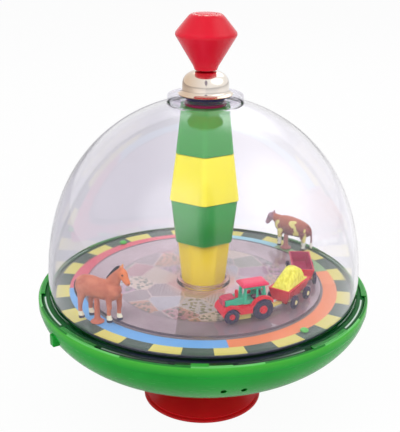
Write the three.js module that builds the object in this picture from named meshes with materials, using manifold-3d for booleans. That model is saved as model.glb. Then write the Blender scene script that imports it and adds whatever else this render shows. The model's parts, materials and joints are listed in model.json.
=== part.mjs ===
import * as THREE from "three";
import { mergeVertices } from "three/addons/utils/BufferGeometryUtils.js";
import Module from "manifold-3d";

const wasm = await Module();
wasm.setup();

// A push-down spinning top with a clear dome, in millimetres, standing on its foot at height zero

// Gaps between pieces, and how far every cut runs past its face
const seatGap = 0.3;
const runGap = 0.4;
const overrun = 6;

// Steps round a full turn
const wideSteps = 28;
const roundSteps = 20;
const smallSteps = 10;
const cornerSteps = 2;
const waistSteps = 4;
const rearFenderSteps = 9;
const frontFenderSteps = 6;
const heapSteps = 6;
const trunkSides = 10;
const headSides = 8;
const legSides = 6;
const tailSides = 5;

// Foot
const footHeight = 25.2;
const footRestRadius = 35;
const footRestWidth = 5;
const footBeadHeight = 1.6;
const footBeadRound = 0.5;
const footGrooveDepth = 2.2;
const footGrooveHeight = 0.7;
const footConeInset = 1.4;
const footConeHeight = 19;
const footNeckRadius = 7.4;
const footWall = 2.4;
const footBossRadius = 6.2;
const footBossLift = 6;

// Pivot pin, its washer and its spring clip
const pinRadius = 1.6;
const pinHeadRadius = 3.2;
const pinHeadHeight = 1.4;
const pinGrooveRadius = 1;
const pinEnd = 1.6;
const thrustWasherRadius = 6.6;
const thrustWasherHeight = 1.2;
const clipRadius = 3.6;
const clipHeight = 1;
const clipMouth = 1.7;

// Pivot bush in the bowl's hub
const bushWall = 1.7;
const bushFlangeRadius = 6.2;
const bushFlangeHeight = 2;

// Bowl
const rimRadius = 94.4;
const rimBandHeight = 4.6;
const rimStep = 0.4;
const rimRound = 0.8;
const rimLip = 1.9;
const bowlWall = 2.2;
const bowlFlatRadius = 12.2;
const bowlConeRadius = 61;
const bowlConeRise = 8.3;
const bowlHeight = 36.5;
const bowlRoundness = 1.6;
const floorThickness = 4.2;
const hubWall = 2;
const hubHeight = 4.8;
const bossWall = 2.1;
const recessDepth = 2.6;
const recessWidth = 6.2;
const plateGroove = 2.3;
const supportWall = 2;
const supportRise = 5;
const tabCount = 8;
const tabGap = 44;
const tabReach = 1.9;
const tabRoot = 1;
const tabThickness = 0.8;
const tabStart = 0.5;
const lugAzimuth = 212;
const lugWidth = 4.5;
const lugHeight = 6.4;
const lugDrop = 1.8;
const lugReach = 0.6;
const lugDepth = 6;
const ventRadius = 1.6;
const ventHeight = 25;
const ventAzimuths = [276.9, 283.6];

// Column screws, equal ones through the bowl's floor
const screwCount = 2;
const screwRadius = 1.3;
const screwHeadRadius = 2.5;
const screwHeadHeight = 1.2;
const screwRecess = 0.6;
const screwLength = 13;
const screwStart = 90;

// Printed plate and the two pegs that hold it
const plateInset = 1.1;
const plateThickness = 1.5;
const pegInset = 7.5;
const pegAzimuths = [132, 312];
const pegRadius = 1.5;
const pegHeadRadius = 2.2;
const pegHeadHeight = 1.7;
const pegLength = 10;
const pegPostWall = 1.6;

// Carousel disc
const carouselInset = 17.5;
const carouselThickness = 1.3;
const carouselLift = 0.4;
const carouselCollarWall = 2.3;
const carouselCollarHeight = 2.2;
const carouselCollarGap = 0.7;

// Column, four hollow six-sided mouldings on round spigots, from the lowest upward
const spigotRadius = 11.2;
const spigotWall = 1.9;
const anchorWall = 4.6;
const anchorHeight = 12.2;
const jointLength = 4;
const jointWall = 1.5;
const columnCorner = 4;
const lowerYellowHeight = 26.5;
const lowerYellowBase = 11;
const lowerYellowTop = 13.2;
const lowerYellowCorner = 2;
const lowerYellowJoint = 11;
const lowerGreenHeight = 25;
const lowerGreenBase = 15.6;
const lowerGreenTop = 18.3;
const lowerGreenJoint = 15.2;
const upperYellowHeight = 25.7;
const upperYellowBase = 19;
const upperYellowTop = 15.65;
const upperYellowJoint = 12.4;
const upperGreenHeight = 25.2;
const upperGreenBase = 15.65;
const upperGreenTop = 12.8;
const upperGreenFlange = 0.5;
const upperGreenFlangeHeight = 1.3;
const upperGreenWall = 2.9;

// Crimson washer and the navy bush with face teeth
const crimsonRadius = 11.3;
const crimsonHeight = 1.3;
const guideBore = 3.4;
const guideSpigotRadius = 8.2;
const guideSpigotLength = 9.9;
const guideWaistWall = 1.9;
const guideCrownWall = 1.2;
const guideCrownHeight = 4.5;
const toothCount = 10;
const toothHeight = 1;
const toothWidth = 1.5;
const toothInset = 1.7;
const toothBoreInset = 1.6;

// Clear dome
const domeFlange = 3.8;
const domeFlangeThickness = 1.6;
const domeWall = 1.8;
const domeSquareness = 2.53;
const domeFullness = 1.058;
const domeApexRise = 0.4;
const domeLedgeThickness = 1.8;
const collarRadius = 20.6;
const collarWall = 2;
const collarHeight = 2;
const collarRound = 0.5;

// Driver nut, lifted clear of the bush's teeth
const clutchGap = 0.5;
const nutRadius = 10.6;
const nutHeight = 2.4;

// Metal cap
const capWall = 0.8;
const capBrim = 2.2;
const capBrimHeight = 0.6;
const capFlareHeight = 4.7;
const capCrownHeight = 8;
const capSquareness = 2.8;
const capClearance = 1.2;
const capHole = 3.2;

// Knob, its screw and its plug
const knobHeight = 29.3;
const knobNeckRadius = 6.7;
const knobNeckHeight = 1.9;
const knobEdge = 0.7;
const knobRadius = 16.4;
const knobWaistHeight = 18.8;
const knobWaistRound = 2.4;
const knobShoulderRadius = 9.5;
const knobShoulderDrop = 1.2;
const knobTopInset = 1.5;
const knobWeb = 4.4;
const plugRadius = 5.3;
const plugHeight = 3;
const plugRise = 0.4;
const knobScrewRadius = 1.2;
const knobScrewHeadRadius = 2.8;
const knobScrewHeadHeight = 2;
const knobScrewBite = 3.5;

// Twisted spindle strip with its round head and its stop ring
const stripWidth = 5;
const stripThickness = 1.2;
const stripLead = 36;
const stripStepsPerTurn = 14;
const slotGap = 0.6;
const slotStepsPerTurn = 28;
const pumpTravel = 100;
const stripEnd = 1.5;
const stopHeight = 3.5;
const stopWall = 1.7;
const spindleHeadRadius = 2.7;
const spindleHeadHeight = 5;
const spindleHeadLift = 6.1;

// Figures on posts
const postRadius = 1.45;
const postFlangeRadius = 4;
const postFlangeHeight = 0.8;
const postBarb = 0.9;
const postBarbHeight = 1.6;
const postBite = 2.2;
const hoofLift = 2;
const horseHeight = 32.5;
const horseAzimuth = 222.2;
const horseHeading = 341;
const horseOutset = 2.4;
const cowHeight = 21.6;
const cowAzimuth = 45.8;
const cowHeading = 150;
const cowOutset = 3.5;

// Tyres, axles and where the three vehicles stand on the carousel
const tyreHubShare = 0.42;
const tyreEdge = 0.5;
const axleRadius = 0.7;
const hubProud = 0.3;
const tractorInset = 16.6;
const tractorAzimuth = 294.5;
const frontTrailerInset = 14.2;
const rearTrailerInset = 11.1;
const noseInward = 4.2;
const tractorToTrailer = 33.8;
const trailerToTrailer = 31.4;

// Tractor, forward along its own X
const tractorWheelbase = 17.5;
const tractorHalfTrack = 5.2;
const tractorTyreWidth = 2.2;
const rearTyreRadius = 5.8;
const frontTyreRadius = 4.2;
const fenderGap = 0.6;
const fenderThickness = 1.2;
const fenderTail = 5.4;
const chassisBase = 4.2;
const chassisTop = 9.2;
const chassisHalfWidth = 3.4;
const chassisTail = 3.2;
const skirtBase = 5.2;
const skirtTop = 8.3;
const noseLength = 5.2;
const noseRound = 1.2;
const bonnetHalfWidth = 3.4;
const bonnetHeight = 3.7;
const bonnetSlope = 0.6;
const bonnetEnd = 2.7;
const cabHalfWidth = 4;
const cabWall = 0.8;
const cabFloor = 0.8;
const cabFront = 7.1;
const cabLength = 12.6;
const cabHeight = 9.3;
const cabLean = 0.8;
const cabSill = 3.8;
const cabDoorSill = 2;
const cabHeader = 1;
const cabPost = 1.1;
const cabDoorLength = 5.4;
const roofOverhang = 2;
const roofSideOverhang = 0.7;
const roofThickness = 1.9;
const roofSlope = 1.3;
const hoodThickness = 0.8;
const hoodInset = 0.6;
const hoodLength = 5.3;
const grilleThickness = 1.2;
const grilleSlots = 3;
const grilleSlotShare = 0.2;
const exhaustRadius = 0.95;
const exhaustHeight = 4;
const exhaustOffset = 1.3;
const exhaustSetForward = 2.2;
const seatLength = 4.4;
const seatHalfWidth = 2;
const seatHeight = 4.4;
const seatThickness = 1.3;
const bellyLength = 7;
const bellyHalfWidth = 2.4;

// Trailers
const trailerTyreRadius = 3.6;
const trailerTyreWidth = 2;
const trailerHalfTrack = 7.1;
const tubBase = 4.6;
const tubHeight = 6.8;
const tubWall = 0.9;
const tubFloor = 1.4;
const tubFlare = 1.9;
const axleBlock = 1.7;
const axleBlockHalfWidth = 3;
const frontTubHalfLength = 12.5;
const frontTubHalfWidth = 6.3;
const frontTubTaper = 1.1;
const frontTrailerHalfBase = 7.2;
const rearTubHalfLength = 13.6;
const rearTubHalfWidth = 6.2;
const rearTubTaper = 1.2;
const rearTrailerHalfBase = 7.5;
const hayHeight = 8.6;
const hayFlankShare = 0.6;
const hayCrestShare = 0.7;
const linkHalfWidth = 1.2;
const linkThickness = 1.2;
const linkSeat = 1;
const knuckleRadius = 1.6;
const knuckleHeight = 4.2;

// Heights of the pieces, from the foot upward
const thrustWasherBase = footHeight + seatGap;
const bushFlangeBase = thrustWasherBase + thrustWasherHeight + seatGap;
const bowlBase = bushFlangeBase + bushFlangeHeight + seatGap;
const clipBase = bowlBase + floorThickness + hubHeight + seatGap;
const supportHeight = bowlHeight + supportRise;
const plateBase = bowlBase + supportHeight + seatGap;
const plateTop = plateBase + plateThickness;
const carouselBase = plateTop + carouselLift;
const carouselTop = carouselBase + carouselThickness;
const lowerYellowFoot = carouselTop + seatGap;
const lowerGreenFoot = lowerYellowFoot + lowerYellowHeight + seatGap;
const upperYellowFoot = lowerGreenFoot + lowerGreenHeight + seatGap;
const upperGreenFoot = upperYellowFoot + upperYellowHeight + seatGap;
const crimsonBase = upperGreenFoot + upperGreenHeight + seatGap;
const ledgeBase = crimsonBase + crimsonHeight + seatGap;
const ledgeTop = ledgeBase + domeLedgeThickness;
const guideCrownBase = ledgeTop + seatGap;
const guideBase = ledgeBase - guideSpigotLength;
const nutBase = guideCrownBase + guideCrownHeight + toothHeight + clutchGap;
const capShoulder = nutBase + toothHeight - seatGap;
const knobBase = capShoulder + capCrownHeight + seatGap;
const spindleHeadBase = knobBase + spindleHeadLift;
const stopBase = guideBase - runGap - pumpTravel - stopHeight;
const stripBase = stopBase - stripEnd;
const rimTop = bowlBase + bowlHeight + rimBandHeight + rimRound;
const domeFlangeBase = rimTop - recessDepth + seatGap;
const domeFlangeTop = domeFlangeBase + domeFlangeThickness;

// Radii that several pieces share
const pinBore = pinRadius + seatGap;
const bushRadius = pinBore + bushWall;
const hubBore = bushRadius + seatGap;
const bossBore = spigotRadius + seatGap;
const carouselBore = spigotRadius + runGap;
const recessRadius = rimRadius - rimLip;
const domeRadius = recessRadius - seatGap - domeFlange;
const plateRadius = domeRadius - domeWall - plateInset;
const carouselRadius = plateRadius - carouselInset;
const supportRadius = recessRadius - recessWidth - plateGroove;
const pegCircle = plateRadius - pegInset;
const screwCircle = spigotRadius - anchorWall / 2;
const guideSpigotBore = guideSpigotRadius + seatGap;
const ledgeBore = guideSpigotRadius + guideWaistWall + seatGap;
const crownRadius = guideSpigotRadius + guideWaistWall + guideCrownWall;
const capRadius = nutRadius + capClearance + capWall;
const lowerYellowCornerRadius =
  lowerYellowCorner + (lowerYellowBase - lowerYellowCorner) / Math.cos(Math.PI / 6);
const horseCircle = carouselRadius + postFlangeRadius + horseOutset;
const cowCircle = carouselRadius + postFlangeRadius + cowOutset;
const stripReach = Math.hypot(stripWidth, stripThickness) / 2;
const knobBore = spindleHeadRadius + seatGap;
const axleBore = axleRadius + seatGap;

const degrees = THREE.MathUtils.degToRad;
const quarter = Math.PI / 2;

// A closed geometry as a solid, with shared corners merged and its faces turned outward
function toSolid(geometry) {
  const bare = geometry.clone();
  bare.deleteAttribute("normal");
  bare.deleteAttribute("uv");
  const merged = mergeVertices(bare);
  const corners = merged.attributes.position;
  const index = merged.index.array;
  const triangles = [];
  const [a, b, c] = [new THREE.Vector3(), new THREE.Vector3(), new THREE.Vector3()];
  let volume = 0;
  for (let i = 0; i < index.length; i += 3) {
    const triangle = [index[i], index[i + 1], index[i + 2]];
    if (new Set(triangle).size < triangle.length) continue;
    triangles.push(triangle);
    a.fromBufferAttribute(corners, triangle[0]);
    b.fromBufferAttribute(corners, triangle[1]);
    c.fromBufferAttribute(corners, triangle[2]);
    volume += a.dot(b.cross(c));
  }
  if (volume < 0) triangles.forEach((triangle) => triangle.reverse());
  const mesh = new wasm.Mesh({
    numProp: 3,
    vertProperties: new Float32Array(corners.array),
    triVerts: new Uint32Array(triangles.flat()),
  });
  return new wasm.Manifold(mesh);
}

function toGeometry(solid) {
  const mesh = solid.getMesh();
  const geometry = new THREE.BufferGeometry();
  geometry.setAttribute("position", new THREE.BufferAttribute(mesh.vertProperties, 3));
  geometry.setIndex(new THREE.BufferAttribute(mesh.triVerts, 1));
  return geometry;
}

function joined(first, ...others) {
  return toGeometry(others.reduce((sum, other) => sum.add(toSolid(other)), toSolid(first)));
}

function cut(first, ...cutters) {
  return toGeometry(cutters.reduce((rest, cutter) => rest.subtract(toSolid(cutter)), toSolid(first)));
}

function shared(first, second) {
  return toGeometry(toSolid(first).intersect(toSolid(second)));
}

// A closed profile of [radius, height] points turned about the vertical axis
function turned(profile, steps) {
  const points = [...profile, profile[0]].map(([radius, height]) => new THREE.Vector2(radius, height));
  return new THREE.LatheGeometry(points, steps).rotateX(quarter);
}

function rod(radius, low, high, steps) {
  return turned([[0, low], [radius, low], [radius, high], [0, high]], steps);
}

function ring(inner, outer, low, high, steps) {
  return turned([[inner, low], [outer, low], [outer, high], [inner, high]], steps);
}

function block(left, right, front, back, low, high) {
  const box = new THREE.BoxGeometry(right - left, back - front, high - low);
  return box.translate((left + right) / 2, (front + back) / 2, (low + high) / 2);
}

// An outline of [x, height] points, as thick as twice its half width across Y
function sideways(outline, halfWidth) {
  const shape = new THREE.Shape(outline.map(([x, height]) => new THREE.Vector2(x, height)));
  const solid = new THREE.ExtrudeGeometry(shape, { depth: 2 * halfWidth, bevelEnabled: false });
  return solid.translate(0, 0, -halfWidth).rotateX(quarter);
}

// A skin over sections that have equal numbers of [x, y, z] points, closed at both ends
function skinned(sections) {
  const count = sections[0].length;
  const triangles = [];
  for (let i = 1; i < sections.length; i += 1) {
    for (let k = 0; k < count; k += 1) {
      const next = (k + 1) % count;
      const [a, b] = [(i - 1) * count + k, (i - 1) * count + next];
      const [c, d] = [i * count + next, i * count + k];
      triangles.push(a, b, c, a, c, d);
    }
  }
  const last = (sections.length - 1) * count;
  for (let k = 2; k < count; k += 1) {
    triangles.push(0, k, k - 1, last, last + k - 1, last + k);
  }
  const geometry = new THREE.BufferGeometry();
  geometry.setAttribute("position", new THREE.Float32BufferAttribute(sections.flat(2), 3));
  geometry.setIndex(triangles);
  return geometry;
}

// The points of a line moved sideways, to the left of its direction
function beside(line, distance) {
  return line.map(([x, y], i) => {
    const [beforeX, beforeY] = line[Math.max(i - 1, 0)];
    const [afterX, afterY] = line[Math.min(i + 1, line.length - 1)];
    const length = Math.hypot(afterX - beforeX, afterY - beforeY);
    return [x - (distance * (afterY - beforeY)) / length, y + (distance * (afterX - beforeX)) / length];
  });
}

// Points at even steps of an angle
function swept(from, to, steps, place) {
  return Array.from({ length: steps + 1 }, (_, i) => place(from + ((to - from) * i) / steps));
}

function arc(centreX, centreY, radius, from, to, steps) {
  return swept(from, to, steps, (angle) => [
    centreX + radius * Math.cos(angle),
    centreY + radius * Math.sin(angle),
  ]);
}

// Copies of a solid spaced about the vertical axis
function around(azimuths, radius, make) {
  return azimuths.map((azimuth) => make().translate(radius, 0, 0).rotateZ(degrees(azimuth)));
}

function onCircle(radius, angle) {
  return [radius * Math.cos(angle), radius * Math.sin(angle)];
}

function evenly(count, start) {
  return Array.from({ length: count }, (_, i) => start + (360 * i) / count);
}

function footGeometry() {
  const bossTop = footHeight;
  const coneRadius = footRestRadius - footConeInset;
  const coneBase = footBeadHeight + footGrooveHeight;
  const rise = (footConeHeight - coneBase) / (coneRadius - footNeckRadius);
  const coneAt = (radius) => coneBase + (coneRadius - radius) * rise;
  const drop = footWall * Math.hypot(1, rise);
  const restInner = footRestRadius - footRestWidth;
  const grooveRadius = footRestRadius - footGrooveDepth;
  return turned([
    [pinBore, footBossLift],
    [footBossRadius, footBossLift],
    [footBossRadius, coneAt(footBossRadius) - drop],
    [restInner, coneAt(restInner) - drop],
    [restInner, 0],
    [footRestRadius - footBeadRound, 0],
    [footRestRadius, footBeadRound],
    [footRestRadius, footBeadHeight - footBeadRound],
    [footRestRadius - footBeadRound, footBeadHeight],
    [grooveRadius, footBeadHeight],
    [grooveRadius, coneBase],
    [coneRadius, coneBase],
    [footNeckRadius, footConeHeight],
    [footNeckRadius, bossTop],
    [pinBore, bossTop],
  ], wideSteps);
}

// The pin's groove holds the clip, and its head sits under the foot's boss
function pivotPinGeometry() {
  const headTop = footBossLift - seatGap;
  const grooveBase = clipBase - seatGap;
  const grooveTop = clipBase + clipHeight + seatGap;
  return turned([
    [0, headTop - pinHeadHeight],
    [pinHeadRadius, headTop - pinHeadHeight],
    [pinHeadRadius, headTop],
    [pinRadius, headTop],
    [pinRadius, grooveBase],
    [pinGrooveRadius, grooveBase],
    [pinGrooveRadius, grooveTop],
    [pinRadius, grooveTop],
    [pinRadius, grooveTop + pinEnd],
    [0, grooveTop + pinEnd],
  ], smallSteps);
}

function pivotClipGeometry() {
  const whole = ring(pinGrooveRadius + seatGap, clipRadius, 0, clipHeight, smallSteps);
  const mouth = block(0, clipRadius + overrun, -clipMouth / 2, clipMouth / 2, -overrun, clipHeight + overrun);
  return cut(whole, mouth);
}

function pivotBushGeometry() {
  const top = bushFlangeHeight + seatGap + floorThickness + hubHeight;
  return turned([
    [pinBore, 0],
    [bushFlangeRadius, 0],
    [bushFlangeRadius, bushFlangeHeight],
    [bushRadius, bushFlangeHeight],
    [bushRadius, top],
    [pinBore, top],
  ], smallSteps);
}

// The bowl's outer line from the flat under the hub to the rim band, with the bowl's base at zero
function bowlLine() {
  const curveSteps = 5;
  const power = 2 / bowlRoundness;
  const reach = rimRadius - rimStep - bowlConeRadius;
  const curve = swept(0, quarter, curveSteps, (turn) => [
    bowlConeRadius + reach * Math.sin(turn) ** power,
    bowlHeight - (bowlHeight - bowlConeRise) * Math.cos(turn) ** power,
  ]);
  return [[bowlFlatRadius, 0], ...curve];
}

function bowlShell() {
  const outer = bowlLine();
  const inner = beside(outer, bowlWall);
  const boss = bossBore + bossWall;
  const coneRise = (bowlConeRise / (bowlConeRadius - bowlFlatRadius)) * (boss - bowlFlatRadius);
  const top = bowlHeight + rimBandHeight + rimRound;
  const shelfTop = top - recessDepth;
  const shelfTip = recessRadius - recessWidth;
  const shelfUnder = shelfTop - bowlWall;
  const within = (radius) => inner.filter((point) => point[0] > boss && point[0] < radius);
  const beyond = inner.filter((point) => point[0] > supportRadius && point[1] < shelfUnder - seatGap);
  const heightAt = (radius) => {
    const next = inner.findIndex((point) => point[0] >= radius);
    const [low, high] = [inner[next - 1], inner[next]];
    return low[1] + ((radius - low[0]) / (high[0] - low[0])) * (high[1] - low[1]);
  };
  const supportInner = supportRadius - supportWall;
  return turned([
    [hubBore, 0],
    ...outer,
    [rimRadius, bowlHeight],
    [rimRadius, bowlHeight + rimBandHeight],
    [rimRadius - rimRound, top],
    [recessRadius, top],
    [recessRadius, shelfTop],
    [shelfTip, shelfTop],
    [shelfTip, shelfUnder],
    [rimRadius - rimStep - bowlWall, shelfUnder],
    ...beyond.reverse(),
    [supportRadius, heightAt(supportRadius)],
    [supportRadius, supportHeight],
    [supportInner, supportHeight],
    [supportInner, heightAt(supportInner)],
    ...within(supportInner).reverse(),
    [boss, coneRise + bowlWall],
    [boss, supportHeight],
    [bossBore, supportHeight],
    [bossBore, floorThickness],
    [hubBore + hubWall, floorThickness],
    [hubBore + hubWall, floorThickness + hubHeight],
    [hubBore, floorThickness + hubHeight],
  ], wideSteps);
}

// Eight tabs hold the dome's flange down: a ring over the recess, with eight gaps
function bowlTabs() {
  const top = bowlHeight + rimBandHeight + rimRound;
  const under = top - recessDepth + seatGap + domeFlangeThickness + seatGap;
  const [near, far] = [recessRadius - tabReach, recessRadius + tabRoot];
  const half = tabGap / 2;
  const gap = () => block(0, far + overrun, -half, half, under - overrun, under + tabThickness + overrun);
  const whole = ring(near, far, under, under + tabThickness, wideSteps);
  return cut(whole, ...around(evenly(tabCount, tabStart + 180 / tabCount), 0, gap));
}

function bowlGeometry() {
  const filled = turned([[0, 0], ...bowlLine(), [0, bowlHeight]], wideSteps);
  const pegBore = pegRadius + seatGap;
  const post = () => rod(pegBore + pegPostWall, 0, supportHeight, smallSteps);
  const posts = around(pegAzimuths, pegCircle, post).map((solid) => shared(solid, filled));
  const stub = () => rod(pegBore + pegPostWall, bowlHeight - overrun, supportHeight, smallSteps);
  const lugTop = bowlHeight - lugDrop;
  const lugOuter = rimRadius + lugReach;
  const lug = () => block(
    lugOuter - lugDepth, lugOuter, -lugWidth / 2, lugWidth / 2, lugTop - lugHeight, lugTop,
  );
  const pegFoot = plateTop - pegLength - bowlBase;
  const pegHole = () => rod(pegBore, pegFoot, supportHeight + overrun, smallSteps);
  const screwHole = () => rod(screwRadius + seatGap, -overrun, floorThickness + overrun, smallSteps);
  const recessTop = screwRecess + screwHeadHeight + seatGap;
  const counterbore = () => rod(screwHeadRadius + seatGap, -overrun, recessTop, smallSteps);
  const screws = evenly(screwCount, screwStart);
  const vent = () => rod(ventRadius, supportRadius + seatGap, rimRadius, smallSteps).rotateY(quarter);
  const vents = around(ventAzimuths, 0, vent).map((hole) => hole.translate(0, 0, ventHeight));
  const walls = joined(bowlShell(), ...posts, ...around(pegAzimuths, pegCircle, stub), bowlTabs());
  return cut(
    joined(walls, ...around([lugAzimuth], 0, lug)),
    ...around(pegAzimuths, pegCircle, pegHole),
    ...around(screws, screwCircle, screwHole),
    ...around(screws, screwCircle, counterbore),
    ...vents,
  );
}

function columnScrewGeometry() {
  return turned([
    [0, screwRecess],
    [screwHeadRadius, screwRecess],
    [screwHeadRadius, screwRecess + screwHeadHeight],
    [screwRadius, screwRecess + screwHeadHeight],
    [screwRadius, screwLength + screwRecess],
    [0, screwLength + screwRecess],
  ], smallSteps);
}

function plateGeometry() {
  const plate = ring(carouselBore, plateRadius, 0, plateThickness, wideSteps);
  const hole = (radius) => () => rod(radius + seatGap, -overrun, plateThickness + overrun, smallSteps);
  return cut(
    plate,
    ...around(pegAzimuths, pegCircle, hole(pegRadius)),
    ...around([horseAzimuth], horseCircle, hole(postRadius)),
    ...around([cowAzimuth], cowCircle, hole(postRadius)),
  );
}

function discPegGeometry() {
  return turned([
    [0, -pegLength],
    [pegRadius, -pegLength],
    [pegRadius, 0],
    [pegHeadRadius, 0],
    [pegHeadRadius, pegHeadHeight / 2],
    [pegRadius, pegHeadHeight],
    [0, pegHeadHeight],
  ], smallSteps);
}

function carouselDiscGeometry() {
  const collarInner = lowerYellowCornerRadius + carouselCollarGap;
  const collarOuter = collarInner + carouselCollarWall;
  const collarTop = carouselThickness + carouselCollarHeight;
  return turned([
    [carouselBore, 0],
    [carouselRadius, 0],
    [carouselRadius, carouselThickness],
    [collarOuter, carouselThickness],
    [collarOuter, collarTop],
    [collarInner, collarTop],
    [collarInner, carouselThickness],
    [carouselBore, carouselThickness],
  ], wideSteps);
}

// A six-sided section with rounded corners, its first corner at an angle
function hexagon(inradius, corner, height, angle) {
  const centre = (inradius - corner) / Math.cos(Math.PI / 6);
  return evenly(6, angle).flatMap((side) => {
    const direction = degrees(side);
    const [x, y] = [centre * Math.cos(direction), centre * Math.sin(direction)];
    const bend = arc(x, y, corner, direction - Math.PI / 6, direction + Math.PI / 6, cornerSteps);
    return bend.map((point) => [...point, height]);
  });
}

// A moulding that takes the round spigot of the one below it and has its own spigot above
function columnPiece({ height, base, top, corner, angle, spigot, socket, bore }) {
  const body = skinned([hexagon(base, corner, 0, angle), hexagon(top, corner, height, angle)]);
  const peg = rod(spigot, height - jointLength, height + jointLength, roundSteps);
  const cavity = turned([
    [0, -overrun],
    [socket, -overrun],
    [socket, jointLength + seatGap],
    [bore, height],
    [bore, height + jointLength + overrun],
    [0, height + jointLength + overrun],
  ], roundSteps);
  return cut(joined(body, peg), cavity);
}

function lowerYellowGeometry() {
  const down = lowerYellowFoot - (bowlBase + floorThickness + seatGap);
  const body = skinned([
    hexagon(lowerYellowBase, lowerYellowCorner, 0, 0),
    hexagon(lowerYellowTop, lowerYellowCorner, lowerYellowHeight, 0),
  ]);
  const spigot = rod(spigotRadius, -down, lowerYellowHeight / 2, roundSteps);
  const peg = rod(lowerYellowJoint, lowerYellowHeight / 2, lowerYellowHeight + jointLength, roundSteps);
  const bore = spigotRadius - spigotWall;
  const cavity = turned([
    [0, -down - overrun],
    [spigotRadius - anchorWall, -down - overrun],
    [spigotRadius - anchorWall, anchorHeight - down],
    [bore, anchorHeight - down],
    [bore, lowerYellowHeight + jointLength + overrun],
    [0, lowerYellowHeight + jointLength + overrun],
  ], roundSteps);
  const screwTop = screwLength + screwRecess - floorThickness - down;
  const screwHole = () => rod(screwRadius + seatGap, -down - overrun, screwTop, smallSteps);
  const screwHoles = around(evenly(screwCount, screwStart), screwCircle, screwHole);
  return cut(joined(body, spigot, peg), cavity, ...screwHoles);
}

function lowerGreenGeometry() {
  return columnPiece({
    height: lowerGreenHeight,
    base: lowerGreenBase,
    top: lowerGreenTop,
    corner: columnCorner,
    angle: 30,
    spigot: lowerGreenJoint,
    socket: lowerYellowJoint + seatGap,
    bore: lowerGreenJoint - jointWall,
  });
}

function upperYellowGeometry() {
  return columnPiece({
    height: upperYellowHeight,
    base: upperYellowBase,
    top: upperYellowTop,
    corner: columnCorner,
    angle: 30,
    spigot: upperYellowJoint,
    socket: lowerGreenJoint + seatGap,
    bore: upperYellowJoint - jointWall,
  });
}

function upperGreenGeometry() {
  const flangeBase = upperGreenHeight - upperGreenFlangeHeight;
  const body = skinned([
    hexagon(upperGreenBase, columnCorner, 0, 30),
    hexagon(upperGreenTop, columnCorner, flangeBase, 30),
    hexagon(upperGreenTop + upperGreenFlange, columnCorner, flangeBase, 30),
    hexagon(upperGreenTop + upperGreenFlange, columnCorner, upperGreenHeight, 30),
  ]);
  const guideFoot = guideBase - upperGreenFoot;
  const cavity = turned([
    [0, -overrun],
    [upperYellowJoint + seatGap, -overrun],
    [upperYellowJoint + seatGap, jointLength + seatGap],
    [upperGreenTop - upperGreenWall, guideFoot - seatGap],
    [guideSpigotBore, guideFoot - seatGap],
    [guideSpigotBore, upperGreenHeight + overrun],
    [0, upperGreenHeight + overrun],
  ], roundSteps);
  return cut(body, cavity);
}

function crimsonWasherGeometry() {
  return ring(guideSpigotBore, crimsonRadius, 0, crimsonHeight, roundSteps);
}

// Radial teeth on a face, which overlap the body below or above them by their own height
function faceTeeth(outer, inner, low, high) {
  const tooth = () => block(inner, outer, -toothWidth / 2, toothWidth / 2, low, high);
  return around(evenly(toothCount, 0), 0, tooth);
}

function columnBushGeometry() {
  const waistTop = guideCrownBase - guideBase;
  const crownTop = waistTop + guideCrownHeight;
  const waist = ledgeBore - seatGap;
  const body = turned([
    [guideBore, 0],
    [guideSpigotRadius, 0],
    [guideSpigotRadius, guideSpigotLength],
    [waist, guideSpigotLength],
    [waist, waistTop],
    [crownRadius, waistTop],
    [crownRadius, crownTop],
    [guideBore, crownTop],
  ], roundSteps);
  const teeth = faceTeeth(
    crownRadius - toothInset, guideBore + toothBoreInset, crownTop - toothHeight, crownTop + toothHeight,
  );
  return joined(body, ...teeth);
}

// The clear shell: flange, curved wall, collar, and the ledge that the bush's crown and the cap stand on
function domeGeometry() {
  const curveSteps = 7;
  const apex = ledgeTop + domeApexRise - domeFlangeTop;
  const flangeRadius = domeRadius + domeFlange;
  const end = Math.acos((collarRadius / domeRadius) ** (1 / domeFullness));
  const outer = swept(0, end, curveSteps, (turn) => [
    domeRadius * Math.cos(turn) ** domeFullness,
    domeFlangeThickness + apex * Math.sin(turn) ** (2 / domeSquareness),
  ]);
  const inner = beside(outer, domeWall).slice(1);
  const low = ledgeBase - domeFlangeBase;
  const high = ledgeTop - domeFlangeBase;
  const collarTop = high + collarHeight;
  const collarInner = collarRadius - collarWall;
  return turned([
    [domeRadius - domeWall, 0],
    [flangeRadius, 0],
    [flangeRadius, domeFlangeThickness],
    ...outer,
    [collarRadius, collarTop - collarRound],
    [collarRadius - collarRound, collarTop],
    [collarInner + collarRound, collarTop],
    [collarInner, collarTop - collarRound],
    [collarInner, high],
    [ledgeBore, high],
    [ledgeBore, low],
    [collarInner - collarWall / 2, low],
    ...inner.reverse(),
    [domeRadius - domeWall, domeFlangeThickness],
  ], wideSteps);
}

function capGeometry() {
  const flareSteps = 2;
  const crownSteps = 5;
  const base = ledgeTop + seatGap;
  const shoulder = capShoulder - base;
  const power = 2 / capSquareness;
  const flare = swept(0, 1, flareSteps, (share) => [
    capRadius + capBrim * (1 - share) ** 2,
    capBrimHeight + (capFlareHeight - capBrimHeight) * share,
  ]);
  const end = Math.acos((capHole / capRadius) ** (1 / power));
  const crown = swept(0, end, crownSteps, (turn) => [
    capRadius * Math.cos(turn) ** power,
    shoulder + capCrownHeight * Math.sin(turn) ** power,
  ]);
  const outer = [[capRadius + capBrim, 0], ...flare, ...crown];
  const inner = beside(outer, capWall);
  inner[0] = [outer[0][0] - capWall, 0];
  return turned([...outer, ...inner.reverse()], roundSteps);
}

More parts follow.
